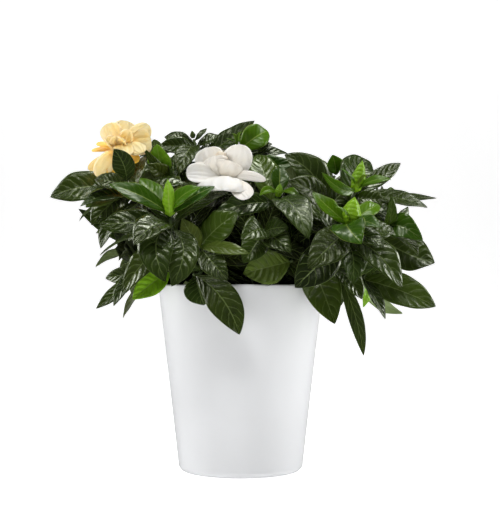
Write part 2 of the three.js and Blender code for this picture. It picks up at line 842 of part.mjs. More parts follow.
// The given pieces as one body. A hollow that they seal is filled, and a loose scrap is left out.
function fused(bodies) {
  const whole = bodies.filter(Boolean).reduce((sum, body) => sum.add(body));
  return whole.decompose().sort((a, b) => b.volume() - a.volume())[0];
}

// A main stem with its branches, which hold the shoots.
function addStem([name, stem]) {
  const owner = "stem_" + name;
  const fork = seen(stem.fork);
  const bodies = [lay(owner, stemSolid(trunkOf(stem.root, fork), STEM.trunk, STEM.trunkSteps))];
  const shoots = Object.entries(stem.shoots).map(([shootName, shoot]) => {
    const branch = branchOf(fork, shoot);
    bodies.push(lay(owner, stemSolid(branch, STEM.branch, STEM.branchSteps)));
    return { shootName, shoot, branch };
  });
  return { owner, bodies, shoots };
}

function addBloom({ shoot, branch }) {
  const owner = "bloom_" + shoot.bloom;
  const bloom = BLOOMS[shoot.bloom];
  addNode(owner, lay(owner, bloomSolid(branch, bloom)), bloom.look);
}

function addTip({ shootName, shoot, branch }) {
  const owner = "tip_" + shootName;
  const bodies = [lay(owner, budSolid(branch, shoot.bud))];
  for (const row of shoot.young) bodies.push(firstClear(owner, youngTries(branch, shoot.bud, row)));
  addNode(owner, fused(bodies), LOOKS.young);
}

function addPlacedLeaves({ owner, bodies, shoots }) {
  for (const { shoot, branch } of shoots) {
    for (const row of shoot.leaves) bodies.push(firstClear(owner, placedTries(branch, row)));
  }
}

// Whorls stay inside the crown. A shoot with no count of its own gets leaves only where they point back.
function addWhorls({ owner, bodies, shoots }, draw) {
  for (const { shoot, branch } of shoots) {
    for (let ring = 0; ring < (shoot.whorls ?? WHORL.behind); ring++) {
      for (let place = 0; place < WHORL.leaves; place++) {
        const tries = whorlTries(branch, ring, place, draw).filter((s) => insideCrown(s.tip));
        const fit = tries.filter((s) => shoot.whorls || s.tip.y > s.base.y);
        bodies.push(firstClear(owner, fit, false));
      }
    }
  }
}

function addPlant() {
  const stems = Object.entries(STEMS).map(addStem);
  const shoots = stems.flatMap((stem) => stem.shoots);
  shoots.filter(({ shoot }) => shoot.bloom).forEach(addBloom);
  shoots.filter(({ shoot }) => shoot.bud).forEach(addTip);
  stems.forEach(addPlacedLeaves);
  const draw = drawsFrom(WHORL_VARIES.seed);
  for (const stem of stems) {
    addWhorls(stem, draw);
    addNode(stem.owner, fused(stem.bodies), LOOKS.leaf);
  }
}

addNode("pot", lay("pot", makePot()), LOOKS.pot);
addNode("soil", lay("soil", makeSoil()), LOOKS.soil);
addPlant();

export default group;
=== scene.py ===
"""A potted gardenia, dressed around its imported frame.

The frame holds every leaf, petal, bud, stem, the soil and the pot as plain solids. This file works each of
them out again as a fine surface with the same base, tip, width and bend, and gives it veins, relief and a
finish.
Places and sizes in the tables are millimetres, seen from the front; meshes are in metres.
"""

import logging
import math
from collections import defaultdict
from collections.abc import Callable, Iterator
from dataclasses import dataclass, field, replace
from enum import Enum

import bpy
import numpy as np
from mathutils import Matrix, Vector

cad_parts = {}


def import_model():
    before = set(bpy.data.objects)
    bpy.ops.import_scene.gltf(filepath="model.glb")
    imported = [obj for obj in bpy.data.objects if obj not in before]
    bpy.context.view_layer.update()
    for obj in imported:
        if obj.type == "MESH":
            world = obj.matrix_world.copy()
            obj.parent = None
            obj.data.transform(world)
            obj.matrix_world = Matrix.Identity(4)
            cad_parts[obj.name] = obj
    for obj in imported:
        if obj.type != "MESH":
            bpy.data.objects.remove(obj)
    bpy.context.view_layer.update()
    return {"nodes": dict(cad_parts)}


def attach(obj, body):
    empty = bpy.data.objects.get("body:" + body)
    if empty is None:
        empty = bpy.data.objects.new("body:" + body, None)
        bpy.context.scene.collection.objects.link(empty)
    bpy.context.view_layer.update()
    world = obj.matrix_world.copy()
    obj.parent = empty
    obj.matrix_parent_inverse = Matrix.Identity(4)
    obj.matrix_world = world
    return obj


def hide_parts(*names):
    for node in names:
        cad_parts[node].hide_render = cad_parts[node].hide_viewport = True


log = logging.getLogger("gardenia")

MM = 0.001
EYE_DISTANCE = 1105.0
EYE_HEIGHT = 161.0
POT_HEIGHT = 158.0
POT_RIM = 70.0
POT_FOOT = 52.0
POT_WALL = 4.5
PETAL_PEAK = 0.745
BRANCH_BEND = 0.45
LOWEST_PLACE = 0.04
CROWDING = 0.35
SAME_POINT = 0.03
SOIL_TOP = 146.0
STEM_FOOT = 120.3
COLLAR = 151.0
UP = np.array([0.0, 0.0, 1.0])
TO_EYE = np.array([0.0, -1.0, 0.0])

Colour = tuple[float, float, float]
Place = tuple[float, float, float]
Profile = Callable[[np.ndarray], np.ndarray]
Rise = Callable[[np.ndarray, np.ndarray], np.ndarray]


def unit(vector: np.ndarray) -> np.ndarray:
    """Returns the vectors of an array's last axis, each divided by its length."""
    return vector / np.linalg.norm(vector, axis=-1, keepdims=True)


def grid(*values: np.ndarray) -> np.ndarray:
    """Returns arrays stretched to one shape and stacked as coordinates."""
    return np.stack(np.broadcast_arrays(*values), axis=-1)


def around(sides: int) -> np.ndarray:
    """Returns angles spread evenly round a circle."""
    return np.linspace(0, 2 * np.pi, sides, endpoint=False)


def seen(across: float, up: float, depth: float) -> np.ndarray:
    """Finds the point that the eye in front sees at a place.

    The share is the point's distance from the eye over the distance of the plane through the pot's axis;
    across and height above the eye both grow with it.

    Args:
        across: Millimetres to the right of the pot's axis, in that plane.
        up: Millimetres above the floor, in that plane.
        depth: Millimetres behind that plane.

    Returns:
        The point in millimetres.
    """
    share = (EYE_DISTANCE + depth) / EYE_DISTANCE
    return np.array([across * share, depth, EYE_HEIGHT + (up - EYE_HEIGHT) * share])


def turned_about(vector: np.ndarray, axis: np.ndarray, degrees: float) -> np.ndarray:
    """Turns a vector about an axis by the right-hand rule, by Rodrigues' formula.

    The vector times the cosine, plus its cross product with the axis times the sine, plus its part along the
    axis times 1 less the cosine.

    Args:
        vector: The vector.
        axis: The unit axis.
        degrees: The angle.

    Returns:
        The turned vector.
    """
    angle = math.radians(degrees)
    flat = vector * math.cos(angle) + np.cross(axis, vector) * math.sin(angle)
    return flat + axis * float(axis @ vector) * (1 - math.cos(angle))


def smooth(low: float, high: float, values: np.ndarray) -> np.ndarray:
    """Returns 0 below low, 1 above high, and 3s² - 2s³ of the share s between them."""
    share = np.clip((values - low) / (high - low), 0.0, 1.0)
    return share * share * (3 - 2 * share)


def drawn(seed: int) -> Iterator[float]:
    """Draws the frame's own random numbers: each state is the last times 48271, modulo a prime.

    Args:
        seed: The first state.

    Yields:
        Each state over the prime, from 0 to 1.
    """
    prime = 2147483647
    state = seed
    while True:
        state = state * 48271 % prime
        yield state / prime


class Tone(Enum):
    """The colours that a leaf comes in: upper side, lower side. The darkest pair is painted shade, for leaves
    that lie in the crown's shadow.
    """

    DARK = ((0.022, 0.038, 0.004), (0.075, 0.100, 0.022))
    # Painted shade: a near-black green for leaves in shadow inside the crown.
    PAINTED_SHADE = ((0.012, 0.018, 0.003), (0.028, 0.038, 0.009))
    MID = ((0.042, 0.074, 0.006), (0.100, 0.150, 0.025))
    OLIVE = ((0.068, 0.100, 0.013), (0.130, 0.170, 0.036))
    GREEN = ((0.022, 0.064, 0.002), (0.100, 0.180, 0.010))
    BRIGHT = ((0.064, 0.155, 0.003), (0.150, 0.270, 0.014))
    LIME = ((0.200, 0.400, 0.014), (0.290, 0.460, 0.040))
    PALE = ((0.170, 0.230, 0.070), (0.230, 0.290, 0.100))


class BloomKind(Enum):
    """The blooms that a shoot can carry."""

    WHITE = "white"
    YELLOW = "yellow"


@dataclass(frozen=True)
class Leaf:
    """A listed leaf: how far down its shoot it grows, where its tip shows, and how crimped it is."""

    back: float
    across: float
    up: float
    depth: float
    width: float
    arch: float = 0.13
    roll: float = 0.0
    sweep: float = 0.0
    face: float = 0.5
    tone: Tone = Tone.DARK
    crimp: float = 0.35


@dataclass(frozen=True)
class Petal:
    """A listed petal: where its tip shows, how it bows and cups, how blunt and how deep in colour."""

    across: float
    up: float
    depth: float
    width: float
    arch: float = 0.1
    cup: float = 0.35
    sweep: float = 0.0
    face: float = 0.0
    blunt: float = 5.0
    deep: float = 0.0


@dataclass(frozen=True)
class Shoot:
    """A branch from a stem's fork to a growing top, with what it carries."""

    name: str
    top: Place
    lean: float
    leaves: tuple[Leaf, ...] = ()
    bud: tuple[float, float] | None = None
    bud_tone: Tone = Tone.LIME
    young: tuple[Leaf, ...] = ()
    whorls: int = 0
    bloom: BloomKind | None = None


@dataclass(frozen=True)
class Stem:
    """A main stem: its root in the soil, its fork and its shoots."""

    name: str
    root: tuple[float, float]
    fork: Place
    shoots: tuple[Shoot, ...]


def young(across: float, up: float, depth: float, width: float, **bends: float | Tone) -> Leaf:
    """Returns a young leaf, which grows from its shoot's bud and is bright unless it says otherwise."""
    return Leaf(0, across, up, depth, width, **{"tone": Tone.BRIGHT, "crimp": 0.12, **bends})


T = Tone

STEMS: tuple[Stem, ...] = (
    Stem("front_left", (-15, -27), (-28, 182, -46), (
        Shoot("front_left", (-60, 214, -84), 10, bud=(30, 12), young=(
            young(-112, 243, -88, 18, arch=0.08, tone=T.GREEN), young(-86, 248, -78, 16, arch=0.06),
            young(-34, 240, -92, 15, sweep=-0.06),
            young(-22, 241, -80, 15, arch=0.14, sweep=0.06, tone=T.GREEN),
        ), leaves=(
            Leaf(7, -8, 238, -66, 15), Leaf(8, -91, 191, -116, 26, arch=0.2, crimp=0.5),
            Leaf(6, -64, 160, -112, 28, arch=0.2, sweep=0.16, face=0.8, crimp=0.8),
            Leaf(11, -59, 156, -104, 25, arch=0.18, sweep=-0.2, face=0.8, crimp=0.9),
            Leaf(13, -121, 207, -84, 24), Leaf(20, -120, 182, -90, 20, roll=55),
            Leaf(24, -100, 150, -84, 21, arch=0.2),
        )),
        Shoot("rim_left", (-40, 166, -74), 82, leaves=(
            Leaf(2, -1, 115, -80, 26, arch=0.2, sweep=-0.12, face=0.8, crimp=0.9),
            Leaf(4, -31, 140, -88, 24, arch=0.2, face=0.8),
        )),
        Shoot("skirt_left", (-84, 170, -48), 78, leaves=(
            Leaf(12, -102, 168, -36, 13, roll=170, tone=T.PALE), Leaf(12, -115, 163, -24, 14),
            Leaf(4, -123, 137, -44, 13, arch=0.02), Leaf(3, -108, 139, -60, 14, arch=0.16),
            Leaf(22, -100, 129, -70, 13, roll=75, arch=0.1),
            Leaf(28, -92, 145, -60, 20, arch=0.05, face=0.8, tone=T.LIME),
        )),
    )),
    Stem("left", (-28, -6), (-50, 200, -12), (
        Shoot("far_left", (-106, 240, -12), 62, leaves=(
            Leaf(4, -162, 232, -22, 28, arch=0.2, face=0.6), Leaf(8, -146, 234, 0, 21),
            Leaf(5, -132, 223, -42, 20, face=0.9, tone=T.OLIVE),
            Leaf(12, -127, 208, -36, 24, arch=0.16, face=0.8), Leaf(24, -119, 188, -34, 22),
            Leaf(18, -107, 219, 12, 22),
        )),
        Shoot("left_low", (-84, 187, 14), 60, leaves=(
            Leaf(2, -138, 222, -8, 13, arch=-0.12, face=0.9),
        )),
        Shoot("yellow_bloom", (-101, 266, -28), 16, bloom=BloomKind.YELLOW),
        Shoot("under_bloom", (-98, 246, -68), 34, leaves=(
            Leaf(2, -108, 273, -80, 18, arch=0.06, sweep=0.1, face=1), Leaf(8, -78, 236, -72, 14),
            Leaf(9, -124, 247, -52, 15),
        )),
    )),
    Stem("upper_left", (-17, 13), (-30, 216, 4), (
        Shoot("upper_left", (-64, 250, -22), 38, whorls=2, bud=(10, 6), bud_tone=T.MID, young=(
            young(-71, 277, -46, 20, face=0.8, tone=T.LIME),
        ), leaves=(
            Leaf(10, -88, 263, -4, 22), Leaf(12, -82, 246, -10, 20), Leaf(6, -74, 281, -8, 14),
            Leaf(8, -83, 274, -46, 8, tone=T.MID),
            Leaf(3, -80, 260, -52, 16, arch=0.15, face=0.9, tone=T.OLIVE),
            Leaf(9, -50, 236, -52, 16, tone=T.OLIVE),
        )),
        Shoot("crest_left", (-40, 281, 14), 20, whorls=3, bud=(7, 5), bud_tone=T.MID, leaves=(
            Leaf(2, -29, 290.5, 16, 7, arch=0.1, sweep=0.12), Leaf(6, -65, 283, 20, 13, roll=15, face=0.8),
            Leaf(10, -70, 275, 2, 16, face=0.8), Leaf(8, -52, 251, -28, 20, arch=0.18, face=0.7, crimp=0.7),
            Leaf(19, 12, 297, -4, 21, sweep=0.05, face=0.6, arch=0.02), Leaf(8, -12, 281, 22, 16),
            Leaf(13, -14, 266, 20, 22), Leaf(22, -44, 240, -20, 20),
        )),
    )),
    Stem("centre", (0, -7), (1, 208, -14), (
        Shoot("white_bloom", (-13, 242, -44), 12, bloom=BloomKind.WHITE),
        Shoot("crest", (-2, 268, -2), 8, whorls=3, bud=(9, 6), young=(
            young(-13, 282, -22, 3), young(-8, 286, -20, 3), young(-4, 285, -16, 3), young(1, 287, -18, 3),
            young(23, 288, 6, 22, arch=0.3, face=0.9),
        ), leaves=(
            Leaf(22, 46, 261, -30, 20, face=0.8, tone=T.GREEN), Leaf(4, 27, 277, -12, 15),
            Leaf(8, 40, 269, 6, 14),
        )),
        Shoot("middle", (31, 231, -60), 42, bud=(12, 7), young=(
            young(33, 257, -62, 16, tone=T.GREEN), young(16, 233, -72, 7, sweep=0.2),
            young(50, 229, -76, 7, sweep=-0.2),
        ), leaves=(
            Leaf(12, 14, 268, -22, 24, arch=0.14, face=0.8, tone=T.MID), Leaf(6, -22, 219, -88, 20),
            Leaf(5, 58, 196, -98, 27, arch=0.22, crimp=0.6),
        )),
    )),
    Stem("front", (6, -30), (2, 184, -46), (
        Shoot("heart", (20, 204, -74), 50, leaves=(
            Leaf(3, 0, 196, -106, 22, arch=0.2), Leaf(4, 41, 206, -96, 17),
            Leaf(8, 43, 185, -94, 21, arch=0.18), Leaf(9, 2, 176, -92, 22, arch=0.16),
        )),
        Shoot("heart_left", (-36, 191, -72), 50, leaves=(
            Leaf(3, -2, 219, -82, 26, arch=0.1, tone=T.MID), Leaf(4, 8, 184, -90, 11, tone=T.OLIVE),
            Leaf(4, -50, 214, -86, 16, tone=T.OLIVE), Leaf(4, -11, 161, -92, 20, arch=0.12, crimp=0.6),
        )),
        Shoot("rim_middle", (44, 178, -62), 72, leaves=(
            Leaf(3, 2, 167, -84, 28, arch=0.04, face=0.8, tone=T.OLIVE, crimp=1.4),
            Leaf(8, 24, 190, -84, 18),
        )),
    )),
    Stem("front_right", (24, -22), (50, 186, -50), (
        Shoot("front_right", (91, 205, -84), 28, bud=(25, 17), young=(
            young(103, 192, -118, 28, arch=0.2, sweep=0.12, face=0.9, tone=T.GREEN),
            young(61, 236, -86, 15, sweep=-0.12), young(79, 224, -94, 3), young(85, 222, -100, 3),
            young(119, 206, -92, 16, tone=T.GREEN), young(118, 225, -78, 14),
        ), leaves=(
            Leaf(10, 137, 155, -106, 27, arch=0.2, crimp=1),
            Leaf(7, 57, 171, -122, 28, arch=0.2, crimp=1.4),
            Leaf(13, 95, 157, -106, 24, arch=0.26, crimp=1.6),
            # The first leaf here is painted in the shade tone, as it lies in the crown's shadow.
            Leaf(17, 46, 155, -98, 30, arch=0.14, tone=T.PAINTED_SHADE), Leaf(6, 122, 189, -98, 19),
            Leaf(10, 131, 203, -62, 18, crimp=0.6),
        )),
        Shoot("rim_right", (82, 172, -66), 70, leaves=(
            Leaf(30, 80, 124, -88, 30, arch=0.14, face=0.9, tone=T.MID, crimp=1),
            Leaf(3, 103, 145, -84, 19), Leaf(1, 104.5, 97, -58, 12, arch=0.1, sweep=-0.04, roll=30),
        )),
        Shoot("skirt_right", (106, 164, -36), 76, leaves=(
            Leaf(1, 104, 138, -34, 9, tone=T.LIME), Leaf(3, 112, 184, -58, 20),
            Leaf(4, 123, 128, -50, 15, arch=0.1, sweep=0.08),
            Leaf(5, 138, 133, -24, 16, roll=165, tone=T.PALE),
            Leaf(9, 166, 139, -40, 28, arch=0.1, tone=T.MID, crimp=0.9),
        )),
    )),
    Stem("upper_right", (17, 5), (42, 206, -6), (
        Shoot("upper_right", (97, 235, -40), 24, bud=(27, 12), young=(
            young(128, 247, -54, 10), young(110, 251, -42, 4), young(84, 257, -42, 3),
            young(88, 253, -50, 3), young(69, 253, -60, 10, sweep=-0.2, face=0.8),
        ), leaves=(
            Leaf(8, 124, 227, -36, 18), Leaf(5, 136, 261, -20, 15, arch=0.04), Leaf(4, 83, 244, -70, 14),
            Leaf(8, 109, 263, -16, 30, arch=0.1, sweep=-0.12, face=0.9),
            Leaf(5, 159, 223, -30, 16, arch=0.1), Leaf(6, 167, 231, -10, 9, arch=0.02),
        )),
        Shoot("shoulder", (76, 226, -40), 46, leaves=(
            Leaf(2, 37, 268, -48, 27, arch=0.12, sweep=0.08, face=0.7, crimp=0.6),
            Leaf(6, 40, 246, -76, 22, arch=0.14, sweep=0.03, face=0.7, crimp=0.6),
            Leaf(4, 97, 246, -26, 24),
        )),
        Shoot("crest_right", (80, 250, 20), 24, bud=(9, 6), bud_tone=T.MID, young=(
            young(78, 268, 10, 16, arch=0.2, face=0.9), young(88, 263, 18, 6, tone=T.GREEN),
        ), leaves=(
            Leaf(6, 58, 262, 30, 18), Leaf(5, 85, 261, 12, 14),
        )),
    )),
    Stem("right", (29, -2), (62, 192, -2), (
        Shoot("far_right", (124, 224, -4), 56, bud=(10, 6), bud_tone=T.MID, leaves=(
            Leaf(6, 130, 239, 10, 14, tone=T.MID),
        )),
        Shoot("right_back", (112, 178, 24), 72, whorls=3),
        Shoot("right_low", (122, 200, -18), 70, leaves=(
            Leaf(6, 165, 176, -24, 33, arch=-0.14, face=0.7),
            Leaf(2, 151, 182, -44, 18, arch=0.16, crimp=0.6),
            Leaf(1, 128, 234, -54, 11, face=0.8, tone=T.MID),
            Leaf(0.5, 155, 195, -46, 23, arch=0.34, sweep=-0.08, face=0.7, tone=T.GREEN, crimp=0.15),
        )),
    )),
    Stem("back_left", (-22, 20), (-46, 196, 42), (
        Shoot("back_left_high", (-72, 240, 52), 40, bud=(12, 7), whorls=3),
        Shoot("back_left_side", (-84, 208, 60), 52, bud=(12, 7), whorls=2),
        Shoot("back_left_low", (-70, 190, 88), 62, whorls=3),
    )),
    Stem("back", (0, 24), (0, 202, 50), (
        Shoot("back_high", (-14, 246, 62), 32, bud=(14, 7), whorls=2),
        Shoot("back_middle", (2, 214, 104), 56, bud=(12, 7), whorls=2),
        Shoot("back_low_left", (-36, 180, 108), 72, whorls=3),
        Shoot("back_low_right", (38, 182, 106), 72, whorls=3),
    )),
    Stem("back_right", (21, 19), (46, 194, 42), (
        Shoot("back_right_high", (46, 236, 58), 40, bud=(12, 7), whorls=3),
        Shoot("back_right_side", (106, 200, 48), 62, bud=(12, 7), whorls=3),
        Shoot("back_right_low", (80, 186, 84), 66, whorls=3),
    )),
)

WHITE_PETALS: tuple[Petal, ...] = (
    Petal(12, 256, -16, 22, cup=0.2), Petal(-34, 262, -18, 22, cup=0.2),
    Petal(-14, 272, -34, 30, arch=0.05, cup=0.2, face=0.9),
    Petal(-30, 274, -49, 25, arch=0.05, cup=-0.15, sweep=-0.06, face=1),
    Petal(-41, 259, -56, 18, arch=0.06, cup=-0.2, face=0.9, blunt=1.5),
    Petal(-46.5, 250.5, -66, 18, arch=0.12, cup=0.3, face=0.7, blunt=6),
    Petal(-15, 237.5, -82, 42, arch=0.17, cup=-0.22, face=0.5, blunt=8),
    Petal(7, 230.5, -84, 15, cup=0.1, face=0.7, blunt=9),
    Petal(21.5, 246, -66, 12, cup=-0.1, sweep=-0.08, face=0.9, blunt=1.5),
    Petal(-18, 271, -52, 10, arch=0.05, cup=0.5, face=1, deep=0.7),
    Petal(-11, 270, -53, 10, arch=0.05, cup=0.5, face=1, deep=0.7),
    Petal(-14.5, 268, -55, 8, cup=0.5, face=1, deep=0.5),
    Petal(-1, 277, -57, 32, arch=0.08, cup=-0.18, sweep=0.1, face=1, blunt=2),
    Petal(-23, 267, -59, 24, arch=0.14, cup=-0.2, sweep=-0.06, face=1, blunt=4),
    Petal(-9, 263, -62, 27, arch=0.18, cup=-0.25, face=1, blunt=4),
)

YELLOW_PETALS: tuple[Petal, ...] = (
    Petal(-130, 255.5, -48, 13, arch=0.14, cup=-0.1, sweep=-0.06, face=0.7, blunt=3, deep=0.4),
    Petal(-121, 248, -58, 17, arch=0.2, cup=0.2, face=0.7, deep=0.2),
    Petal(-110, 247.5, -62, 13, cup=-0.1, face=0.9, deep=1),
    Petal(-86.5, 262, -60, 11, cup=0.2, face=0.9, deep=1),
    Petal(-84, 269, -61, 19, arch=0.2, cup=-0.15, face=0.5),
    Petal(-97, 267, -66, 17, arch=0.2, cup=-0.1, face=0.5, deep=0.1),
    Petal(-127, 271, -42, 9, arch=0.06, cup=0.3, face=0.5, blunt=1.5, deep=0.8),
    Petal(-123, 276.5, -42, 12, arch=0.06, cup=0.3, face=0.5, blunt=1.5, deep=0.8),
    Petal(-114, 294.5, -46, 19, arch=0.02, cup=0.15, face=0.9), Petal(-97, 297, -36, 20, cup=0.2, face=0.9),
    Petal(-77, 292.5, -46, 25, arch=0.08, cup=-0.1, face=0.9, blunt=1.8),
    Petal(-76, 281, -48, 20, arch=0.08, cup=0.05, face=0.9, blunt=9),
    Petal(-94, 289, -54, 15, arch=0.05, cup=0.2, face=1, blunt=3, deep=0.1),
    Petal(-115, 281, -56, 14, arch=0.05, cup=0.15, face=0.8, blunt=3, deep=0.15),
    Petal(-107, 284, -58, 14, arch=0.05, cup=0.15, face=1, blunt=3, deep=0.2),
    Petal(-100, 282, -60, 14, arch=0.05, cup=0.2, face=1, blunt=3, deep=0.15),
    Petal(-88, 290, -10, 24, arch=-0.2, cup=0.4),
)


def by(operation: str) -> Callable[..., "Wire"]:
    """Returns a method that feeds an output, and a second input where there is one, to a Math node."""
    return lambda first, second=0.0: first.graph.add("Math", {0: first, 1: second}, operation=operation)[0]


@dataclass(frozen=True)
class Wire:
    """A node's output. Python's operators on it add Math nodes to its material."""

    graph: "Graph"
    socket: bpy.types.NodeSocket
    __add__ = by("ADD")
    __sub__ = by("SUBTRACT")
    __mul__ = by("MULTIPLY")
    __pow__ = by("POWER")
    __abs__ = by("ABSOLUTE")
    above = by("GREATER_THAN")
    most = by("MAXIMUM")
    cosine = by("COSINE")


class Graph:
    """A material's node tree while it is being wired. Inputs are plain values or wires."""

    def __init__(self, name: str) -> None:
        """Makes an empty material with an output and a shader.

        Args:
            name: The material's name.
        """
        self.material = bpy.data.materials.new(name)
        self.material.use_nodes = True
        self.tree = self.material.node_tree
        self.tree.nodes.clear()
        output = self.tree.nodes.new("ShaderNodeOutputMaterial")
        self.shader = self.tree.nodes.new("ShaderNodeBsdfPrincipled")
        self.tree.links.new(self.shader.outputs["BSDF"], output.inputs["Surface"])

    def feed(self, socket: bpy.types.NodeSocket, value: object) -> None:
        """Links an input to a wire, or sets the input's own value; a colour gets an alpha of 1.

        Args:
            socket: The input.
            value: A wire, number or tuple.
        """
        if isinstance(value, Wire):
            self.tree.links.new(value.socket, socket)
        else:
            socket.default_value = (*value, 1.0) if socket.type == "RGBA" else value

    def add(
        self, kind: str, inputs: dict[str | int, object], wanted: tuple[str | int, ...] = (0,),
        **settings: object,
    ) -> list[Wire]:
        """Adds a node.

        Args:
            kind: The node's type name, without its common beginning.
            inputs: A value or wire for each named or numbered input.
            wanted: The outputs that are wanted.
            settings: The node's own properties.

        Returns:
            The wanted outputs.
        """
        node = self.tree.nodes.new("ShaderNode" + kind)
        for key, value in settings.items():
            setattr(node, key, value)
        for key, value in inputs.items():
            self.feed(node.inputs[key], value)
        return [Wire(self, node.outputs[key]) for key in wanted]

    def span(self, value: Wire, low: float, high: float, out: tuple[float, float] = (0.0, 1.0)) -> Wire:
        """Returns a value mapped smoothly from low..high to out, and held beyond them."""
        inputs = {0: value, 1: low, 2: high, 3: out[0], 4: out[1]}
        return self.add("MapRange", inputs, interpolation_type="SMOOTHSTEP")[0]

    def mix(self, share: object, first: object, second: object, blend: str = "MIX") -> Wire:
        """Returns two colours mixed by a share."""
        return self.add("Mix", {0: share, 6: first, 7: second}, (2,), data_type="RGBA", blend_type=blend)[0]

    def place(self) -> Wire:
        """Returns the Object coordinates, which are metres in the row's frame."""
        return self.add("TexCoord", {}, ("Object",))[0]

    def noise(self, scale: float, detail: float = 3.0, at: Wire | None = None) -> Wire:
        """Returns a noise from 0 to 1, over the Object coordinates unless others are given."""
        return self.add("TexNoise", {"Vector": at or self.place(), "Scale": scale, "Detail": detail})[0]

    def across_along(self) -> list[Wire]:
        """Returns a blade's own coordinates: across from 0 to 1, and along from root to tip."""
        return self.add("SeparateXYZ", {0: self.add("UVMap", {}, uv_map="blade")[0]}, (0, 1))

    def streaks(self, across: float, along: float, detail: float) -> Wire:
        """Returns a noise over a blade's own coordinates, each times a number."""
        u, v = self.across_along()
        return self.noise(1.0, detail, self.add("CombineXYZ", {0: u * across, 1: v * along})[0])

    def tint(self) -> list[Wire]:
        """Returns a piece's painted colour, and its alpha: 0 on a lower side, 0.4 to 1 on an upper one."""
        return self.add("Attribute", {}, ("Color", "Alpha"), attribute_name="tint")

    def relief(self, height: Wire, millimetres: float) -> None:
        """Gives the shader a bump, where a height of 1 stands up by some millimetres."""
        bump = self.add("Bump", {"Height": height, "Distance": millimetres * MM, "Strength": 1.0})[0]
        self.feed(self.shader.inputs["Normal"], bump)

    def dress(self, **inputs: object) -> bpy.types.Material:
        """Feeds the shader's inputs, named with underscores for spaces.

        Args:
            inputs: A value or wire for each input.

        Returns:
            The finished material.
        """
        for key, value in inputs.items():
            self.feed(self.shader.inputs[key.replace("_", " ")], value)
        return self.material


@dataclass(frozen=True)
class LeafFinish:
    """A waxy veined leaf: its painted colour, pale veins, quilting between them, mottling, and a pale margin
    that is partly its own paler edge and partly a painted rim highlight.
    """

    name: str
    veins: float = 8.0
    slant: float = 1.7
    quilt: float = 0.5
    vein_share: float = 0.24
    midrib_share: float = 0.5
    # Painted on the veins, and on the margin as a partly painted rim highlight.
    vein_and_rim_highlight_colour: Colour = (0.17, 0.23, 0.07)
    gloss: tuple[float, float] = (0.15, 0.28)
    sheen: float = 0.6

    def build(self) -> bpy.types.Material:
        """Wires the material.

        With x the distance from the midrib and v the place along, veins lie where v times the number of veins
        less the slant times x to the power 1.25 is whole, and one side's are set off by 0.4. Between them the
        blade bulges by the cosine of that.

        Returns:
            The material.
        """
        g = Graph(self.name)
        across, along = g.across_along()
        colour, upper = g.tint()
        off = across * 2.0 - 1.0
        x = abs(off)
        wobble = (g.noise(180.0) - 0.5) * 0.6
        phase = along * self.veins + x**1.25 * -self.slant + off.above(0.0) * 0.4 + wobble
        wave = (phase * (2 * math.pi)).cosine()
        edge = g.span(x, 0.98, 0.75)
        lateral = g.span(wave, 0.86, 1.0) * edge
        midrib = g.span(x, 0.055, 0.02)
        # The pale margin: partly the leaf's own paler edge, partly a painted rim highlight.
        margin = g.span(x, 0.955, 0.99, (0.0, 0.6))
        cells = g.add("TexVoronoi", {"Vector": g.place(), "Scale": 900.0}, feature="DISTANCE_TO_EDGE")[0]
        net = g.span(cells, 0.0, 0.12, (1.0, 0.0))
        mottle = g.noise(60.0, 4.0)
        dull = g.mix(1.0, colour, (0.45, 0.5, 0.4), "MULTIPLY")
        base = g.mix(g.span(mottle, 0.3, 0.75, (0.0, 0.55)), colour, dull)
        for share in (lateral * self.vein_share, midrib * self.midrib_share, margin):
            base = g.mix(share, base, self.vein_and_rim_highlight_colour)
        domes = wave * -0.5 * edge
        height = domes + lateral * -0.35 + midrib * -0.9 + net * -0.12 + g.noise(220.0, 2.0) * 0.3
        lift = (upper - 0.3) * 1.43
        g.relief(height * lift.most(g.span(upper, 0.0, 0.3, (-0.6, 0.0))), self.quilt)
        rough = g.span(mottle, 0.2, 0.8, self.gloss) + g.span(upper, 0.1, 0.3, (0.3, 0.0))
        return g.dress(Base_Color=base, Roughness=rough, IOR=1.5, Specular_IOR_Level=self.sheen,
                       Specular_Tint=(0.93, 1.0, 0.74))


@dataclass(frozen=True)
class PetalFinish:
    """A soft petal: its painted colour deepens towards its root, with fine lines along it; a shade colour is
    painted in cloudy patches as painted shade, and along the lines, which stand partly for veins and partly
    for painted shade in its creases.
    """

    name: str
    root: Colour
    # The colour of the painted shade, laid in cloudy patches and along the lines.
    shade: Colour
    reach: float = 0.5
    lined: float = 0.6

    def build(self) -> bpy.types.Material:
        """Wires the material.

        The root's colour fades out along the petal, and lines are a noise drawn out along it. The shade
        colour is painted shade, laid in patches by a noise and along the lines, which fade out towards the
        tip.

        Returns:
            The material.
        """
        g = Graph(self.name)
        along, colour = g.across_along()[1], g.tint()[0]
        lines, cloud = g.streaks(34.0, 2.0, 3.0), g.noise(120.0)
        fade = g.span(along + cloud * 0.25, self.reach + 0.15, 0.1)
        streaks = g.span(lines, 0.5, 0.7, (0.0, self.lined)) * g.span(along, 1.0, 0.35)
        # Painted shade: the shade colour in cloudy patches, and along the lines, which fade out towards the
        # tip.
        shade_patches = g.mix(g.span(cloud, 0.42, 0.8, (0.0, 0.5)), colour, self.shade)
        base = g.mix(fade, g.mix(streaks, shade_patches, self.shade), self.root)
        g.relief(lines * 0.5 + cloud * 1.4, 0.25)
        return g.dress(Base_Color=base, Roughness=0.55, Subsurface_Weight=0.45, Subsurface_Scale=0.004,
                       Subsurface_Radius=(1.0, 0.95, 0.85), Sheen_Weight=0.15, Sheen_Roughness=0.4)


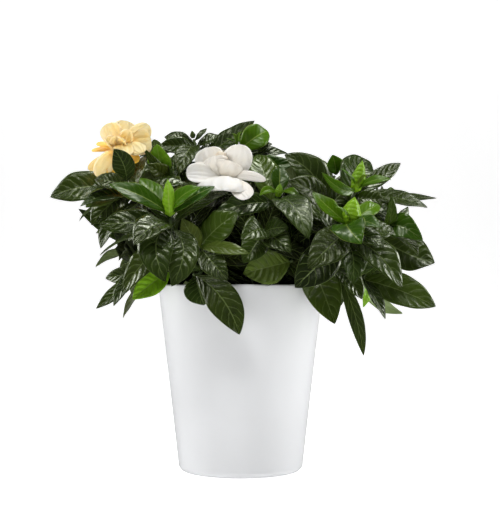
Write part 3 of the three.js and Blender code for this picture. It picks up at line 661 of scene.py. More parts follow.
@dataclass(frozen=True)
class BarkFinish:
    """A young woody stem: its painted colour, lengthwise streaks and small warts."""

    name: str = "bark"

    def build(self) -> bpy.types.Material:
        """Wires the material from noises that are drawn out along the stem.

        Returns:
            The material.
        """
        g = Graph(self.name)
        colour, streak = g.tint()[0], g.streaks(14.0, 9.0, 4.0)
        dull = g.mix(1.0, colour, (0.5, 0.5, 0.45), "MULTIPLY")
        g.relief(streak + g.noise(900.0, 2.0) * 0.5, 0.5)
        return g.dress(Base_Color=g.mix(g.span(streak, 0.35, 0.7), dull, colour), Roughness=0.75)


@dataclass(frozen=True)
class GlazeFinish:
    """A satin white glaze: almost even, with a faint waviness and a few dull patches."""

    name: str = "white_glaze"
    colour: Colour = (0.715, 0.722, 0.735)

    def build(self) -> bpy.types.Material:
        """Wires the material from a wide noise for the waviness and a fine one for the skin.

        Returns:
            The material.
        """
        g = Graph(self.name)
        wide = g.noise(14.0, 2.0)
        base = g.mix(g.span(wide, 0.3, 0.7), self.colour, tuple(0.96 * c for c in self.colour))
        g.relief(wide + g.noise(700.0, 2.0) * 0.12, 0.12)
        rough = g.span(wide, 0.25, 0.75, (0.3, 0.38))
        return g.dress(Base_Color=base, Roughness=rough, Coat_Weight=0.25, Coat_Roughness=0.2)


@dataclass(frozen=True)
class SoilFinish:
    """Damp potting soil: dark crumbs with a few pale bits of bark and grit."""

    name: str = "potting_soil"

    def build(self) -> bpy.types.Material:
        """Wires the material from a cell pattern for crumbs and a noise for damp patches.

        Returns:
            The material.
        """
        g = Graph(self.name)
        cells = {"Vector": g.place(), "Scale": 420.0, "Randomness": 1.0}
        crumbs, chance = g.add("TexVoronoi", cells, ("Distance", "Color"))
        dark = g.mix(g.span(g.noise(45.0, 4.0), 0.35, 0.7), (0.012, 0.008, 0.005), (0.045, 0.028, 0.017))
        grit = g.span(g.add("SeparateXYZ", {0: chance})[0], 0.9, 0.96)
        g.relief(crumbs * -1.0 + g.noise(900.0), 1.2)
        return g.dress(Base_Color=g.mix(grit, dark, (0.16, 0.11, 0.07)), Roughness=0.92)


@dataclass
class Skin:
    """The surfaces of one piece, gathered as arrays by name before they go into its mesh."""

    parts: dict[str, list[np.ndarray]] = field(default_factory=lambda: defaultdict(list))
    count: int = 0

    def add_tube(
        self, rings: np.ndarray, ends: tuple[np.ndarray, np.ndarray], uv: np.ndarray,
        tints: tuple[Colour, Colour], slot: int = 0, relief: float = 1.0,
    ) -> None:
        """Adds a closed surface of rings in a row, with a fan at each end.

        Faces join ring r, place i to r + 1 and i + 1, and the last place to the first.

        Args:
            rings: Points as (rings, places, 3), in millimetres, anticlockwise seen from the tip.
            ends: The point that closes the first ring, and the one that closes the last.
            uv: Coordinates as (rings, places, 2).
            tints: The colour of the first half of the places, and of the second half.
            slot: The material's number on the piece.
            relief: The strength of the finish's relief on the first half, from 0 to 1, painted as alpha.
        """
        rows, size = rings.shape[:2]
        first = self.count + rows * size
        index = np.arange(self.count, first).reshape(rows, size)
        following = np.roll(index, -1, axis=1)
        low = np.stack([following[0], index[0], np.full(size, first)], axis=-1)
        high = np.stack([index[-1], following[-1], np.full(size, first + 1)], axis=-1)
        quads = np.stack([index[:-1], following[:-1], following[1:], index[1:]], axis=-1).reshape(-1, 4)
        lower = np.arange(size) >= size // 2
        shade = np.where(lower[:, None], [*tints[1], 0.0], [*tints[0], 0.4 + 0.6 * relief])
        added = {
            "points": np.concatenate([rings.reshape(-1, 3), np.array(ends)]),
            "uvs": np.concatenate([uv.reshape(-1, 2), [[0.5, uv[0, 0, 1]], [0.5, uv[-1, 0, 1]]]]),
            "quads": quads,
            "triangles": np.concatenate([low, high]),
            "quad_tints": np.tile(shade, (rows - 1, 1)),
            "triangle_tints": np.tile(shade, (2, 1)),
            "quad_slots": np.full(len(quads), slot),
            "triangle_slots": np.full(2 * size, slot),
        }
        for name, values in added.items():
            self.parts[name].append(values)
        self.count = first + 2

    def mesh(self, name: str) -> bpy.types.Mesh:
        """Makes the piece's mesh, with its UV map, its painted colours and smooth faces.

        Args:
            name: The mesh's name.

        Returns:
            The mesh, in metres.
        """
        whole = {part: np.concatenate(values) for part, values in self.parts.items()}
        quads, triangles = whole["quads"], whole["triangles"]
        loops = np.concatenate([quads.ravel(), triangles.ravel()]).astype(np.int32)
        sizes = np.repeat([4, 3], [len(quads), len(triangles)])
        slots = np.concatenate([whole["quad_slots"], whole["triangle_slots"]])
        tints = np.concatenate([whole["quad_tints"], whole["triangle_tints"]])
        mesh = bpy.data.meshes.new(name)
        mesh.vertices.add(len(whole["points"]))
        mesh.vertices.foreach_set("co", (whole["points"] * MM).astype(np.float32).ravel())
        mesh.loops.add(len(loops))
        mesh.loops.foreach_set("vertex_index", loops)
        mesh.polygons.add(len(sizes))
        mesh.polygons.foreach_set("loop_start", (np.cumsum(sizes) - sizes).astype(np.int32))
        mesh.polygons.foreach_set("material_index", slots.astype(np.int32))
        mesh.polygons.foreach_set("use_smooth", np.ones(len(sizes), dtype=bool))
        mesh.update(calc_edges=True)
        layer = mesh.uv_layers.new(name="blade")
        layer.data.foreach_set("uv", whole["uvs"][loops].astype(np.float32).ravel())
        paint = mesh.color_attributes.new(name="tint", type="FLOAT_COLOR", domain="CORNER")
        paint.data.foreach_set("color", np.repeat(tints, sizes, axis=0).astype(np.float32).ravel())
        mesh.validate()
        return mesh

    def piece(self, name: str, finishes: tuple[bpy.types.Material, ...], slot: str, node: str) -> None:
        """Makes the piece's object, which stands for a node of the frame.

        Args:
            name: The piece's name.
            finishes: Its materials.
            slot: The record's material slot, which is not used.
            node: The node of the frame that it replaces.
        """
        mesh = self.mesh(name)
        for finish in finishes:
            mesh.materials.append(finish)
        made = bpy.data.objects.new(name, mesh)
        bpy.context.scene.collection.objects.link(made)
        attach(made, "root")
        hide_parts(node)
        log.info("%s: %d faces", name, len(mesh.polygons))


@dataclass(frozen=True)
class Mesher:
    """How finely a blade is cut, and how it departs from a plain folded sheet."""

    rows: int
    across: int
    thick: float = 0.5
    stalk: float = 0.75
    quilt: float = 0.0
    ruffle: float = 0.0
    veins: float = 8.0
    slant: float = 1.7


def leaf_profile(t: np.ndarray) -> np.ndarray:
    """Returns a leaf's half width at t: the sine of pi times t to the power 1.1, to the power 0.85."""
    return np.sin(np.pi * np.clip(t, 0, 1) ** 1.1).clip(0) ** 0.85


def petal_profile(blunt: float) -> Profile:
    """Returns a petal's half width at t: t to the power 0.7, by the root of 1 less t to the power blunt."""
    return lambda t: t**0.7 * np.sqrt((1 - t**blunt).clip(0)) / PETAL_PEAK


@dataclass(frozen=True)
class Blade:
    """One leaf or petal, between its base and its tip, as the frame has it."""

    base: np.ndarray
    tip: np.ndarray
    up: np.ndarray
    width: float
    arch: float
    roll: float = 0.0
    sweep: float = 0.0
    profile: Profile = leaf_profile

    def surface(self, cut: Mesher, rise: Rise) -> tuple[np.ndarray, np.ndarray]:
        """Works out the blade's closed skin.

        The centre line is the chord plus the bow times 4t(1 - t), the bow being arch lengths along the normal
        and sweep lengths sideways. Across it the edge runs square to the line's direction, half the width by
        the profile, and the rise lifts it along the face. The two sides stand off it by half the thickness
        times the root of 1 less the fourth power of the place across. Rows are closer together near the tip.

        Args:
            cut: How finely it is cut.
            rise: The height over the centre line, in half widths, at places along and across.

        Returns:
            Rings of points, across the upper side and back along the lower, and their UV coordinates.
        """
        even = np.linspace(0, 1, cut.rows + 1)[:-1]
        t = CROWDING * np.sin(even * np.pi / 2) + (1 - CROWDING) * even
        v = np.linspace(-1, 1, cut.across + 1)
        chord = self.tip - self.base
        length = float(np.linalg.norm(chord))
        along = unit(chord)
        side = turned_about(unit(np.cross(along, self.up)), along, self.roll)
        bow = np.cross(side, along) * self.arch * length + side * self.sweep * length
        centre = self.base + np.outer(t, chord) + np.outer(4 * t * (1 - t), bow)
        forward = unit(chord + np.outer(4 * (1 - 2 * t), bow))
        edge = unit(side - (forward @ side)[:, None] * forward)
        face = np.cross(edge, forward)
        plain = self.width / 2 * self.profile(t)
        half = np.maximum(plain, np.where(t < 0.4, min(cut.stalk, self.width / 3), 0.05))
        height = rise(t[:, None], v[None, :]) * plain[:, None]
        sheet = centre[:, None] + edge[:, None] * (half[:, None] * v)[..., None]
        mid = sheet + face[:, None] * height[..., None]
        stout = np.maximum(cut.thick / 2, 0.8 * cut.stalk * (1 - t / 0.14))[:, None]
        lift = face[:, None] * (stout * np.sqrt(1 - v[None, :] ** 4))[..., None]
        rings = np.concatenate([mid + lift, (mid - lift)[:, -2:0:-1]], axis=1)
        u = (v + 1) / 2
        return rings, grid(np.concatenate([u, u[-2:0:-1]])[None, :], t[:, None])


def quilted(cut: Mesher, width: float, shift: float, crimp: float, fold: float = 0.26) -> Rise:
    """Makes a leaf's rise.

    Args:
        cut: How strong the quilting and the ripple are, and where the veins lie.
        width: The leaf's width.
        shift: Where the ripple starts, so that no two leaves are alike.
        crimp: How strongly it is quilted, from 0 to 1.
        fold: How far the margins rise from the midrib, in half widths.

    Returns:
        The rise.
    """

    def rise(t: np.ndarray, v: np.ndarray) -> np.ndarray:
        """Works out the rise.

        It is a fold that is rounded at the midrib, with each half bulging, a dome between each two veins, and
        a ripple of the margin that is a sine along it.

        Args:
            t: Places along, from 0 to 1.
            v: Places across, from -1 to 1.

        Returns:
            The height over the centre line, in half widths.
        """
        x = np.abs(v)
        folded = fold * (1.75 * (np.sqrt(x * x + 0.01) - 0.1) - 0.75 * x * x)
        phase = t * cut.veins - cut.slant * x**1.25 + 0.4 * (v > 0)
        domes = -0.5 * np.cos(2 * np.pi * phase) * smooth(0.0, 0.25, x) * smooth(1.0, 0.7, x)
        tapered = domes * smooth(0.02, 0.2, t) * smooth(1.0, 0.85, t) * cut.quilt * crimp / (width / 2)
        ripple = cut.ruffle * x**2 * np.sin(2 * np.pi * (2.6 * t + shift + 0.3 * np.sign(v)))
        return folded + tapered + ripple

    return rise


def cupped(cut: Mesher, cup: float, shift: float) -> Rise:
    """Makes a petal's rise.

    Args:
        cut: How strong the folds are.
        cup: How far the margins rise, in half widths.
        shift: Where the folds start.

    Returns:
        The rise.
    """

    def rise(t: np.ndarray, v: np.ndarray) -> np.ndarray:
        """Works out the rise.

        It is the cup times the square of the place across, with soft folds of two sines and a frilled tip.

        Args:
            t: Places along, from 0 to 1.
            v: Places across, from -1 to 1.

        Returns:
            The height over the centre line, in half widths.
        """
        wide = np.sin(2 * np.pi * (1.1 * v + 0.5 * t + shift))
        narrow = np.sin(2 * np.pi * (2.3 * v - t + 2 * shift))
        frill = np.sin(2 * np.pi * (3.2 * v + shift)) * smooth(0.6, 1.0, t)
        folds = wide * 0.5 + 0.5 * narrow
        return cup * v * v + cut.ruffle * (folds * smooth(0.1, 0.7, t) * 0.6 + frill * 0.5)

    return rise


@dataclass(frozen=True)
class Branch:
    """A curved branch from a fork to a shoot's top, which it reaches leaning out from the pot's axis."""

    fork: np.ndarray
    bend: np.ndarray
    top: np.ndarray

    @classmethod
    def to(cls, fork: np.ndarray, shoot: Shoot) -> "Branch":
        """Works out the branch of a shoot.

        Its heading at the top is the sine of the lean outwards and the cosine upwards, and its middle control
        point lies back along that heading, by a share of the distance from its fork to its top.

        Args:
            fork: Where it starts.
            shoot: The shoot.

        Returns:
            The branch.
        """
        top = seen(*shoot.top)
        lean = math.radians(shoot.lean)
        out = unit(np.array([top[0], top[1], 0.0]))
        heading = out * math.sin(lean) + UP * math.cos(lean)
        return cls(fork, top - heading * BRANCH_BEND * float(np.linalg.norm(top - fork)), top)

    def at(self, t: np.ndarray) -> np.ndarray:
        """Returns points on the quadratic Bezier curve."""
        t = np.asarray(t, float)[..., None]
        return (1 - t) ** 2 * self.fork + 2 * t * (1 - t) * self.bend + t * t * self.top

    def down(self, back: float) -> tuple[np.ndarray, np.ndarray]:
        """Finds the place a distance back from the top.

        Args:
            back: The distance, over the curve's length in 200 steps; the place stays off the very fork.

        Returns:
            The point and the unit heading there.
        """
        length = float(np.linalg.norm(np.diff(self.at(np.linspace(0, 1, 201)), axis=0), axis=1).sum())
        t = max(LOWEST_PLACE, 1 - back / length)
        near = self.at(np.array([max(0.0, t - 1e-4), min(1.0, t + 1e-4)]))
        return self.at(np.array(t)), unit(near[1] - near[0])


@dataclass(frozen=True)
class Solids:
    """The frame's own vertices in millimetres, by node: they say where each leaf of the frame lies."""

    points: dict[str, np.ndarray]

    @classmethod
    def of(cls, nodes: dict[str, bpy.types.Object]) -> "Solids":
        """Reads the vertices of the frame's nodes.

        Args:
            nodes: The nodes by name.

        Returns:
            The solids.
        """
        found = {}
        for name, node in nodes.items():
            co = np.zeros(len(node.data.vertices) * 3, np.float32)
            node.data.vertices.foreach_get("co", co)
            found[name] = np.unique(co.reshape(-1, 3).round(7), axis=0) / MM
        return cls(found)

    def hold(self, node: str, point: np.ndarray) -> bool:
        """Returns whether a node has a vertex at a point."""
        return bool((np.abs(self.points[node] - point).max(axis=1) < SAME_POINT).any())

    def chosen(self, node: str, tries: list[Blade]) -> Blade | None:
        """Returns the first of several blades whose tip is a vertex of the node, or None."""
        return next((blade for blade in tries if self.hold(node, blade.tip)), None)


DEPTH_TRIES = (0, -6, 6, -12, 12, -18, 18, -26, 26)
PITCH_TRIES = (0, -14, 14, -26, 26, 10, -10, 38, -34)
TURN_TRIES = (0, 12, -12, -22, 22, 34, -34, 50, -50)


def leaf_blade(base: np.ndarray, tip: np.ndarray, heading: np.ndarray, leaf: Leaf) -> Blade:
    """Returns a leaf's blade, whose upper side faces its heading, turned by a share towards the viewer."""
    up = heading * (1 - leaf.face) + TO_EYE * leaf.face
    return Blade(base, tip, up, leaf.width, leaf.arch, leaf.roll, leaf.sweep)


def placed_tries(base: np.ndarray, heading: np.ndarray, leaf: Leaf) -> list[Blade]:
    """Returns the blades that a placed leaf may have in the frame, at shifts in depth."""
    tips = [seen(leaf.across, leaf.up, leaf.depth + shift) for shift in DEPTH_TRIES]
    return [leaf_blade(base, tip, heading, leaf) for tip in tips]


@dataclass(frozen=True)
class Whorls:
    """The rule for rings of three leaves down a shoot."""

    first: float = 8.0
    apart: float = 12.0
    leaves: int = 3
    turn_jitter: float = 24.0
    pitch: float = 48.0
    opening: float = 17.0
    pitch_jitter: float = 14.0
    sag: float = 0.12
    droop: float = 0.4
    length: float = 54.0
    shortest: float = 0.88
    length_jitter: float = 0.26
    first_share: float = 0.82
    growth: float = 0.07
    width_share: float = 0.43
    seen_from: Place = (0.31, 0.17, 0.94)

    def tries(self, branch: Branch, ring: int, place: float, draw: Iterator[float]) -> list[Blade]:
        """Works out the blades that one leaf may have in the frame.

        The leaf opens from the heading by the pitch, which grows by the opening for each ring, turns about it
        by thirds, with jitter on both and on its length, and sags by a share of its length. From ring to ring
        it is longer by the growth and sags more by the droop.

        Args:
            branch: The shoot's branch.
            ring: The ring's number, from the top.
            place: The leaf's number in its ring.
            draw: The random numbers: turn, pitch and size.

        Returns:
            The blades.
        """
        base, heading = branch.down(self.first + self.apart * ring)
        aside = unit(np.cross(heading, self.seen_from))
        turn = 360 / self.leaves * (place + ring / 2) + self.turn_jitter * (next(draw) - 0.5)
        pitch = self.pitch + self.opening * ring + self.pitch_jitter * (next(draw) - 0.5)
        size = self.shortest + self.length_jitter * next(draw)
        length = self.length * size * (self.first_share + self.growth * ring)
        sagged = UP * self.sag * length * (1 + self.droop * ring)
        leaf = Leaf(0, 0, 0, 0, length * self.width_share, face=0.0)
        made = []
        for pitch_shift, turn_shift in zip(PITCH_TRIES, TURN_TRIES):
            angle = math.radians(pitch + pitch_shift)
            out = turned_about(aside, heading, turn + turn_shift)
            tip = base + (heading * math.cos(angle) + out * math.sin(angle)) * length
            made.append(leaf_blade(base, tip - sagged, heading, leaf))
        return made


@dataclass(frozen=True)
class Inner:
    """The rule for the dark leaves deep in the crown, which the frame's own whorls leave open: they fill its
    inside, painted in the darkest tone as its shade.
    """

    rings: int = 5
    leaves: int = 5
    spacing: float = 0.6
    turn: float = 0.5
    half: Place = (118.0, 100.0, 62.0)
    middle: float = 198.0
    front: float = -62.0

    def keeps(self, blade: Blade) -> bool:
        """Returns whether a blade's tip lies inside the inner ellipsoid and behind its front."""
        share = (blade.tip - UP * self.middle) / self.half
        return bool(share @ share < 1 and blade.tip[1] > self.front)


FINE_LEAF = Mesher(34, 12, quilt=0.55, ruffle=0.07)
PLAIN_LEAF = Mesher(12, 6, ruffle=0.06)
ROUGH_LEAF = Mesher(6, 4)
SPIKE = Mesher(10, 4, stalk=0.5)
FINE_PETAL = Mesher(26, 18, thick=0.5, stalk=1.2, ruffle=0.08)
SPIKE_WIDTH = 5.0


def varied(colour: Colour, rng: np.random.Generator, spread: float = 0.18) -> Colour:
    """Makes a colour lighter or darker, and warmer or cooler, by chance.

    Args:
        colour: The colour.
        rng: The random numbers.
        spread: How far its lightness may move, as a share.

    Returns:
        The new colour.
    """
    light = 1 + spread * rng.uniform(-1, 1)
    warm = 1 + 0.6 * spread * rng.uniform(-1, 1)
    return (colour[0] * light * warm, colour[1] * light, colour[2] * light / warm)


def add_leaf(
    skin: Skin, blade: Blade, tone: Tone, cut: Mesher, rng: np.random.Generator, crimp: float = 0.25,
) -> None:
    """Adds one leaf to a skin.

    Args:
        skin: The skin.
        blade: The leaf's blade.
        tone: Its colours.
        cut: How finely it is cut.
        rng: The numbers for its ripple and its colour.
        crimp: How strongly it is quilted, from 0 to 1.
    """
    shift, crimp = rng.uniform(), crimp * rng.uniform(0.8, 1.2)
    rings, uv = blade.surface(cut, quilted(cut, blade.width, shift, crimp))
    tints = (varied(tone.value[0], rng), varied(tone.value[1], rng))
    skin.add_tube(rings, (blade.base, blade.tip), uv, tints, relief=crimp)


def hoops(path: np.ndarray, forward: np.ndarray, radii: np.ndarray) -> np.ndarray:
    """Works out rings about a path's points.

    Each is the cosine times a side direction plus the sine times its cross product, times the radius.

    Args:
        path: The points.
        forward: The unit direction that the rings are square to, one for all or one for each point.
        radii: The radius at each point and side.

    Returns:
        The rings' points.
    """
    aside = np.eye(3)[int(np.abs(path[-1] - path[0]).argmin())]
    side = unit(np.cross(forward, aside))[..., None, :]
    angle = around(radii.shape[1])[:, None]
    ring = np.cos(angle) * side + np.sin(angle) * np.cross(forward[..., None, :], side)
    return path[:, None] + ring * radii[..., None]


def add_stem(skin: Skin, path: np.ndarray, radii: np.ndarray, tints: tuple[Colour, Colour]) -> None:
    """Adds a round stem of eight sides to a skin.

    Args:
        skin: The skin.
        path: The stem's points.
        radii: The radius at each.
        tints: The colours of its two sides.
    """
    forward = unit(np.gradient(path, axis=0))
    rings = hoops(path, forward, np.repeat(radii[:, None], 8, axis=1))
    run = np.concatenate([[0], np.cumsum(np.linalg.norm(np.diff(path, axis=0), axis=1))]) / 40
    uv = grid(around(8)[None, :] / (2 * np.pi), run[:, None])
    skin.add_tube(rings, (path[0], path[-1]), uv, tints, slot=1)


@dataclass
class LeafyStem:
    """A main stem with its branches and its full-grown leaves."""

    stem: Stem
    solids: Solids
    finishes: tuple[bpy.types.Material, ...]
    rng: np.random.Generator
    trunk: tuple[float, float] = (2.6, 1.8)
    twig: tuple[float, float] = (1.7, 1.1)
    uneven: tuple[float, float] = (0.08, 0.07)
    steps: int = 12
    wood: tuple[Colour, Colour] = ((0.13, 0.11, 0.06), (0.10, 0.09, 0.05))
    green: tuple[Colour, Colour] = ((0.10, 0.15, 0.04), (0.08, 0.13, 0.035))
    skin: Skin = field(default_factory=Skin)

    @property
    def node(self) -> str:
        """The name of the frame's node."""
        return "stem_" + self.stem.name

    def branches(self) -> list[tuple[Shoot, Branch]]:
        """Returns each shoot with its branch."""
        fork = seen(*self.stem.fork)
        return [(shoot, Branch.to(fork, shoot)) for shoot in self.stem.shoots]

    def radii(self, ends: tuple[float, float], share: float, count: int) -> np.ndarray:
        """Returns radii from one end's to the other's, each thicker or thinner by up to a share."""
        return np.linspace(*ends, count) * (1 + share * self.rng.uniform(-1, 1, count))

    def add_wood(self) -> None:
        """Adds the trunk, straight in the soil and then bent to its fork, and the branches."""
        fork = seen(*self.stem.fork)
        heights = (STEM_FOOT, COLLAR, (COLLAR + fork[2]) / 2)
        foot, collar, bend = (np.array([*self.stem.root, z]) for z in heights)
        steps = np.linspace(0, 1, self.steps)
        path = np.concatenate([np.linspace(foot, collar, 4)[:-1], Branch(collar, bend, fork).at(steps)])
        add_stem(self.skin, path, self.radii(self.trunk, self.uneven[0], len(path)), self.wood)
        for _, branch in self.branches():
            radii = self.radii(self.twig, self.uneven[1], self.steps)
            add_stem(self.skin, branch.at(steps), radii, self.green)

    def add_placed(self) -> None:
        """Adds the listed leaves."""
        for shoot, branch in self.branches():
            for leaf in shoot.leaves:
                blade = self.solids.chosen(self.node, placed_tries(*branch.down(leaf.back), leaf))
                if blade is None:
                    log.warning("%s: no leaf at %s, %s", self.node, leaf.across, leaf.up)
                    continue
                add_leaf(self.skin, blade, leaf.tone, FINE_LEAF, self.rng, leaf.crimp)

    def add_whorls(self, rule: Whorls, draw: Iterator[float]) -> int:
        """Adds the leaves that the rule places, where the frame has them.

        Args:
            rule: The rule.
            draw: The frame's own random numbers.

        Returns:
            How many there are.
        """
        count = 0
        for shoot, branch in self.branches():
            for ring in range(shoot.whorls or 2):
                for place in range(rule.leaves):
                    blade = self.solids.chosen(self.node, rule.tries(branch, ring, place, draw))
                    if blade is not None:
                        add_leaf(self.skin, blade, Tone.DARK, PLAIN_LEAF, self.rng)
                        count += 1
        return count

    def add_inner(self, rule: Whorls, inner: Inner) -> int:
        """Adds the small dark leaves deep in the crown, painted in the darkest tone as shade.

        Args:
            rule: The rule for whorls, with its turns set off from the frame's.
            inner: Where such leaves go.

        Returns:
            How many there are.
        """
        count = 0
        draw = drawn(int(self.rng.integers(1, 9999)))
        for _, branch in self.branches():
            for ring in range(inner.rings):
                for place in range(inner.leaves):
                    blade = rule.tries(branch, ring, inner.spacing * place + inner.turn, draw)[0]
                    if inner.keeps(blade):
                        # The darkest tone paints these leaves as shade deep in the crown.
                        add_leaf(self.skin, blade, Tone.PAINTED_SHADE, ROUGH_LEAF, self.rng)
                        count += 1
        return count

    def make(self) -> None:
        """Makes the piece."""
        self.skin.piece("leafy_" + self.stem.name, self.finishes, "leaf", self.node)


@dataclass
class YoungTip:
    """A shoot's bud with its young leaves."""

    shoot: Shoot
    branch: Branch
    solids: Solids
    finish: bpy.types.Material
    rng: np.random.Generator
    lift: float = 0.9
    turn_up: float = 0.8
    root_share: float = 0.2
    root_limit: float = 2.4
    places: tuple[float, ...] = (0, 0.08, 0.42, 0.8, 1)
    widths: tuple[float, ...] = (0.0, 0.31, 0.5, 0.25, 0.0)
    ribs: int = 5
    rib_height: float = 0.1
    twist: float = 3.0

    def add_bud(self, skin: Skin, seat: np.ndarray, axis: np.ndarray) -> None:
        """Adds the bud: a spindle about its axis, whose radius swells by a cosine at each twisted rib.

        Args:
            skin: The skin.
            seat: Its foot.
            axis: Its unit axis.
        """
        height, width = self.shoot.bud
        up, angle = np.linspace(0.02, 0.98, 16), around(20)
        radius = np.interp(up, self.places, self.widths) * width
        ribbed = 1 + self.rib_height * np.cos(self.ribs * angle[None, :] + self.twist * up[:, None])
        rings = hoops(seat + np.outer(up * height, axis), axis, radius[:, None] * ribbed)
        uv = grid(0.5 + 0.25 * np.sin(angle)[None, :], up[:, None])
        colour = varied(self.shoot.bud_tone.value[0], self.rng, 0.1)
        skin.add_tube(rings, (seat, seat + axis * height), uv, (colour, colour))

    def make(self) -> None:
        """Makes the piece.

        The bud sits just above the shoot's top and turns up, and the young leaves grow from near its foot.
        """
        skin, node = Skin(), "tip_" + self.shoot.name
        base, heading = self.branch.down(0)
        seat = base + heading * self.lift
        axis = unit(heading + UP * self.turn_up)
        self.add_bud(skin, seat, axis)
        root = seat + axis * min(self.root_limit, self.root_share * self.shoot.bud[0])
        for leaf in self.shoot.young:
            blade = self.solids.chosen(node, placed_tries(root, heading, leaf))
            if blade is None:
                log.warning("%s: no leaf at %s, %s", node, leaf.across, leaf.up)
                continue
            cut = SPIKE if leaf.width < SPIKE_WIDTH else FINE_LEAF
            add_leaf(skin, blade, leaf.tone, cut, self.rng, leaf.crimp)
        skin.piece("young_" + self.shoot.name, (self.finish,), "young_leaf", node)


@dataclass(frozen=True)
class Bloom:
    """A double bloom: a knob on its shoot's top, and the petals around it, with their colours."""

    petals: tuple[Petal, ...]
    axis: Place
    finish: PetalFinish
    inner: Colour
    outer: Colour
    deep: Colour
    ruffle: float
    knob: float = 4.2
    gap: float = 0.3

    def add_knob(self, skin: Skin, centre: np.ndarray) -> None:
        """Adds the round knob that the petals grow from.

        Args:
            skin: The skin.
            centre: Its middle.
        """
        up, angle = np.linspace(-0.95, 0.95, 9)[:, None], around(16)
        wide = np.sqrt(1 - up**2)
        ball = grid(wide * np.cos(angle), wide * np.sin(angle), up)
        ends = (centre - UP * self.knob, centre + UP * self.knob)
        uv = grid(angle[None, :] / 7, 0.1 + 0 * up)
        skin.add_tube(centre + ball * self.knob, ends, uv, (self.inner, self.inner))

    def make(self, name: str, branch: Branch, rng: np.random.Generator) -> None:
        """Makes the piece.

        Args:
            name: The bloom's name.
            branch: The branch that carries it.
            rng: The numbers for its petals' folds and colours.
        """
        skin = Skin()
        base, heading = branch.down(0)
        centre = base + heading * (self.knob + self.gap)
        self.add_knob(skin, centre)
        cut = replace(FINE_PETAL, ruffle=self.ruffle)
        for petal in self.petals:
            tip = seen(petal.across, petal.up, petal.depth)
            up = np.array(self.axis) * (1 - petal.face) + TO_EYE * petal.face
            profile = petal_profile(petal.blunt)
            blade = Blade(centre, tip, up, petal.width, petal.arch, sweep=petal.sweep, profile=profile)
            rings, uv = blade.surface(cut, cupped(cut, petal.cup, rng.uniform()))
            deep = np.array(self.deep) * petal.deep
            sides = (np.array(side) * (1 - petal.deep) + deep for side in (self.inner, self.outer))
            skin.add_tube(rings, (centre, tip), uv, tuple(varied(tuple(side), rng, 0.05) for side in sides))
        skin.piece("flower_" + name, (self.finish.build(),), "petal_" + name, "bloom_" + name)


BLOOMS = {
    BloomKind.WHITE: Bloom(
        WHITE_PETALS, (0.02, -0.15, 1),
        # Each finish's second colour is painted shade.
        PetalFinish("white_petal", (0.74, 0.74, 0.42), (0.92, 0.85, 0.68), 0.22, 0.2),
        inner=(0.98, 0.93, 0.84), outer=(0.99, 0.94, 0.85), deep=(0.97, 0.82, 0.60), ruffle=0.08),
    BloomKind.YELLOW: Bloom(
        YELLOW_PETALS, (0.05, -0.12, 1),
        PetalFinish("yellow_petal", (0.98, 0.52, 0.02), (0.98, 0.60, 0.07), 0.6),
        inner=(1.0, 0.79, 0.36), outer=(1.0, 0.82, 0.44), deep=(1.0, 0.47, 0.01), ruffle=0.15),
}


def turned(profile: np.ndarray, sides: int, skin: Skin, tint: Colour) -> None:
    """Adds a round surface turned about the pot's axis.

    Args:
        profile: Radius and height as (points, 2), from the axis outwards and back to it.
        sides: The number of sides.
        skin: The skin.
        tint: Its colour.
    """
    angle, inner = around(sides), profile[1:-1]
    rings = grid(inner[:, :1] * np.cos(angle), inner[:, :1] * np.sin(angle), inner[:, 1:])
    uv = grid(angle[None, :] / (2 * np.pi), np.linspace(0, 1, len(inner))[:, None])
    ends = (np.array([0, 0, profile[0, 1]]), np.array([0, 0, profile[-1, 1]]))
    skin.add_tube(rings, ends, uv, (tint, tint))


def arc(centre: tuple[float, float], radius: float, start: float, end: float, count: int) -> np.ndarray:
    """Returns points on a circle from one angle to another, in degrees."""
    angle = np.radians(np.linspace(start, end, count))
    return np.stack([centre[0] + radius * np.cos(angle), centre[1] + radius * np.sin(angle)], axis=1)


def pot_radius(z: float) -> float:
    """Returns the pot's outer radius at a height: it grows evenly from foot to rim."""
    return POT_FOOT + (POT_RIM - POT_FOOT) * z / POT_HEIGHT


@dataclass(frozen=True)
class Pot:
    """The tapered white pot: a straight wall, a rounded foot edge and a thin soft rim."""

    fillet: float = 6.5
    lip: float = 1.6
    flat: float = 4.0
    low: float = 8.5
    high: float = 152.0
    inside_low: float = 20.0
    sides: int = 192
    tint: Colour = (0.8, 0.8, 0.8)

    def make(self) -> None:
        """Makes the piece from its turned profile."""
        skin = Skin()
        foot, top, wall = self.fillet, POT_HEIGHT, POT_WALL
        low, high, deep = self.low, self.high, self.inside_low
        outer = np.linspace([pot_radius(low), low], [pot_radius(high), high], 14)
        inside = np.linspace([pot_radius(high) - wall, high], [pot_radius(deep) - wall, deep], 10)
        profile = np.concatenate([
            [[0, 0], [pot_radius(0) - foot - self.flat, 0]],
            arc((pot_radius(foot) - foot, foot), foot, -90, -6, 9),
            outer,
            arc((POT_RIM - self.lip, top - self.lip), self.lip, 0, 90, 6),
            arc((POT_RIM - wall + self.lip, top - self.lip), self.lip, 90, 180, 6),
            inside,
            arc((pot_radius(wall) - wall - foot, wall + foot), foot, -6, -90, 6),
            [[0, wall]],
        ])
        turned(profile, self.sides, skin, self.tint)
        skin.piece("white_pot", (GlazeFinish().build(),), "pot", "pot")


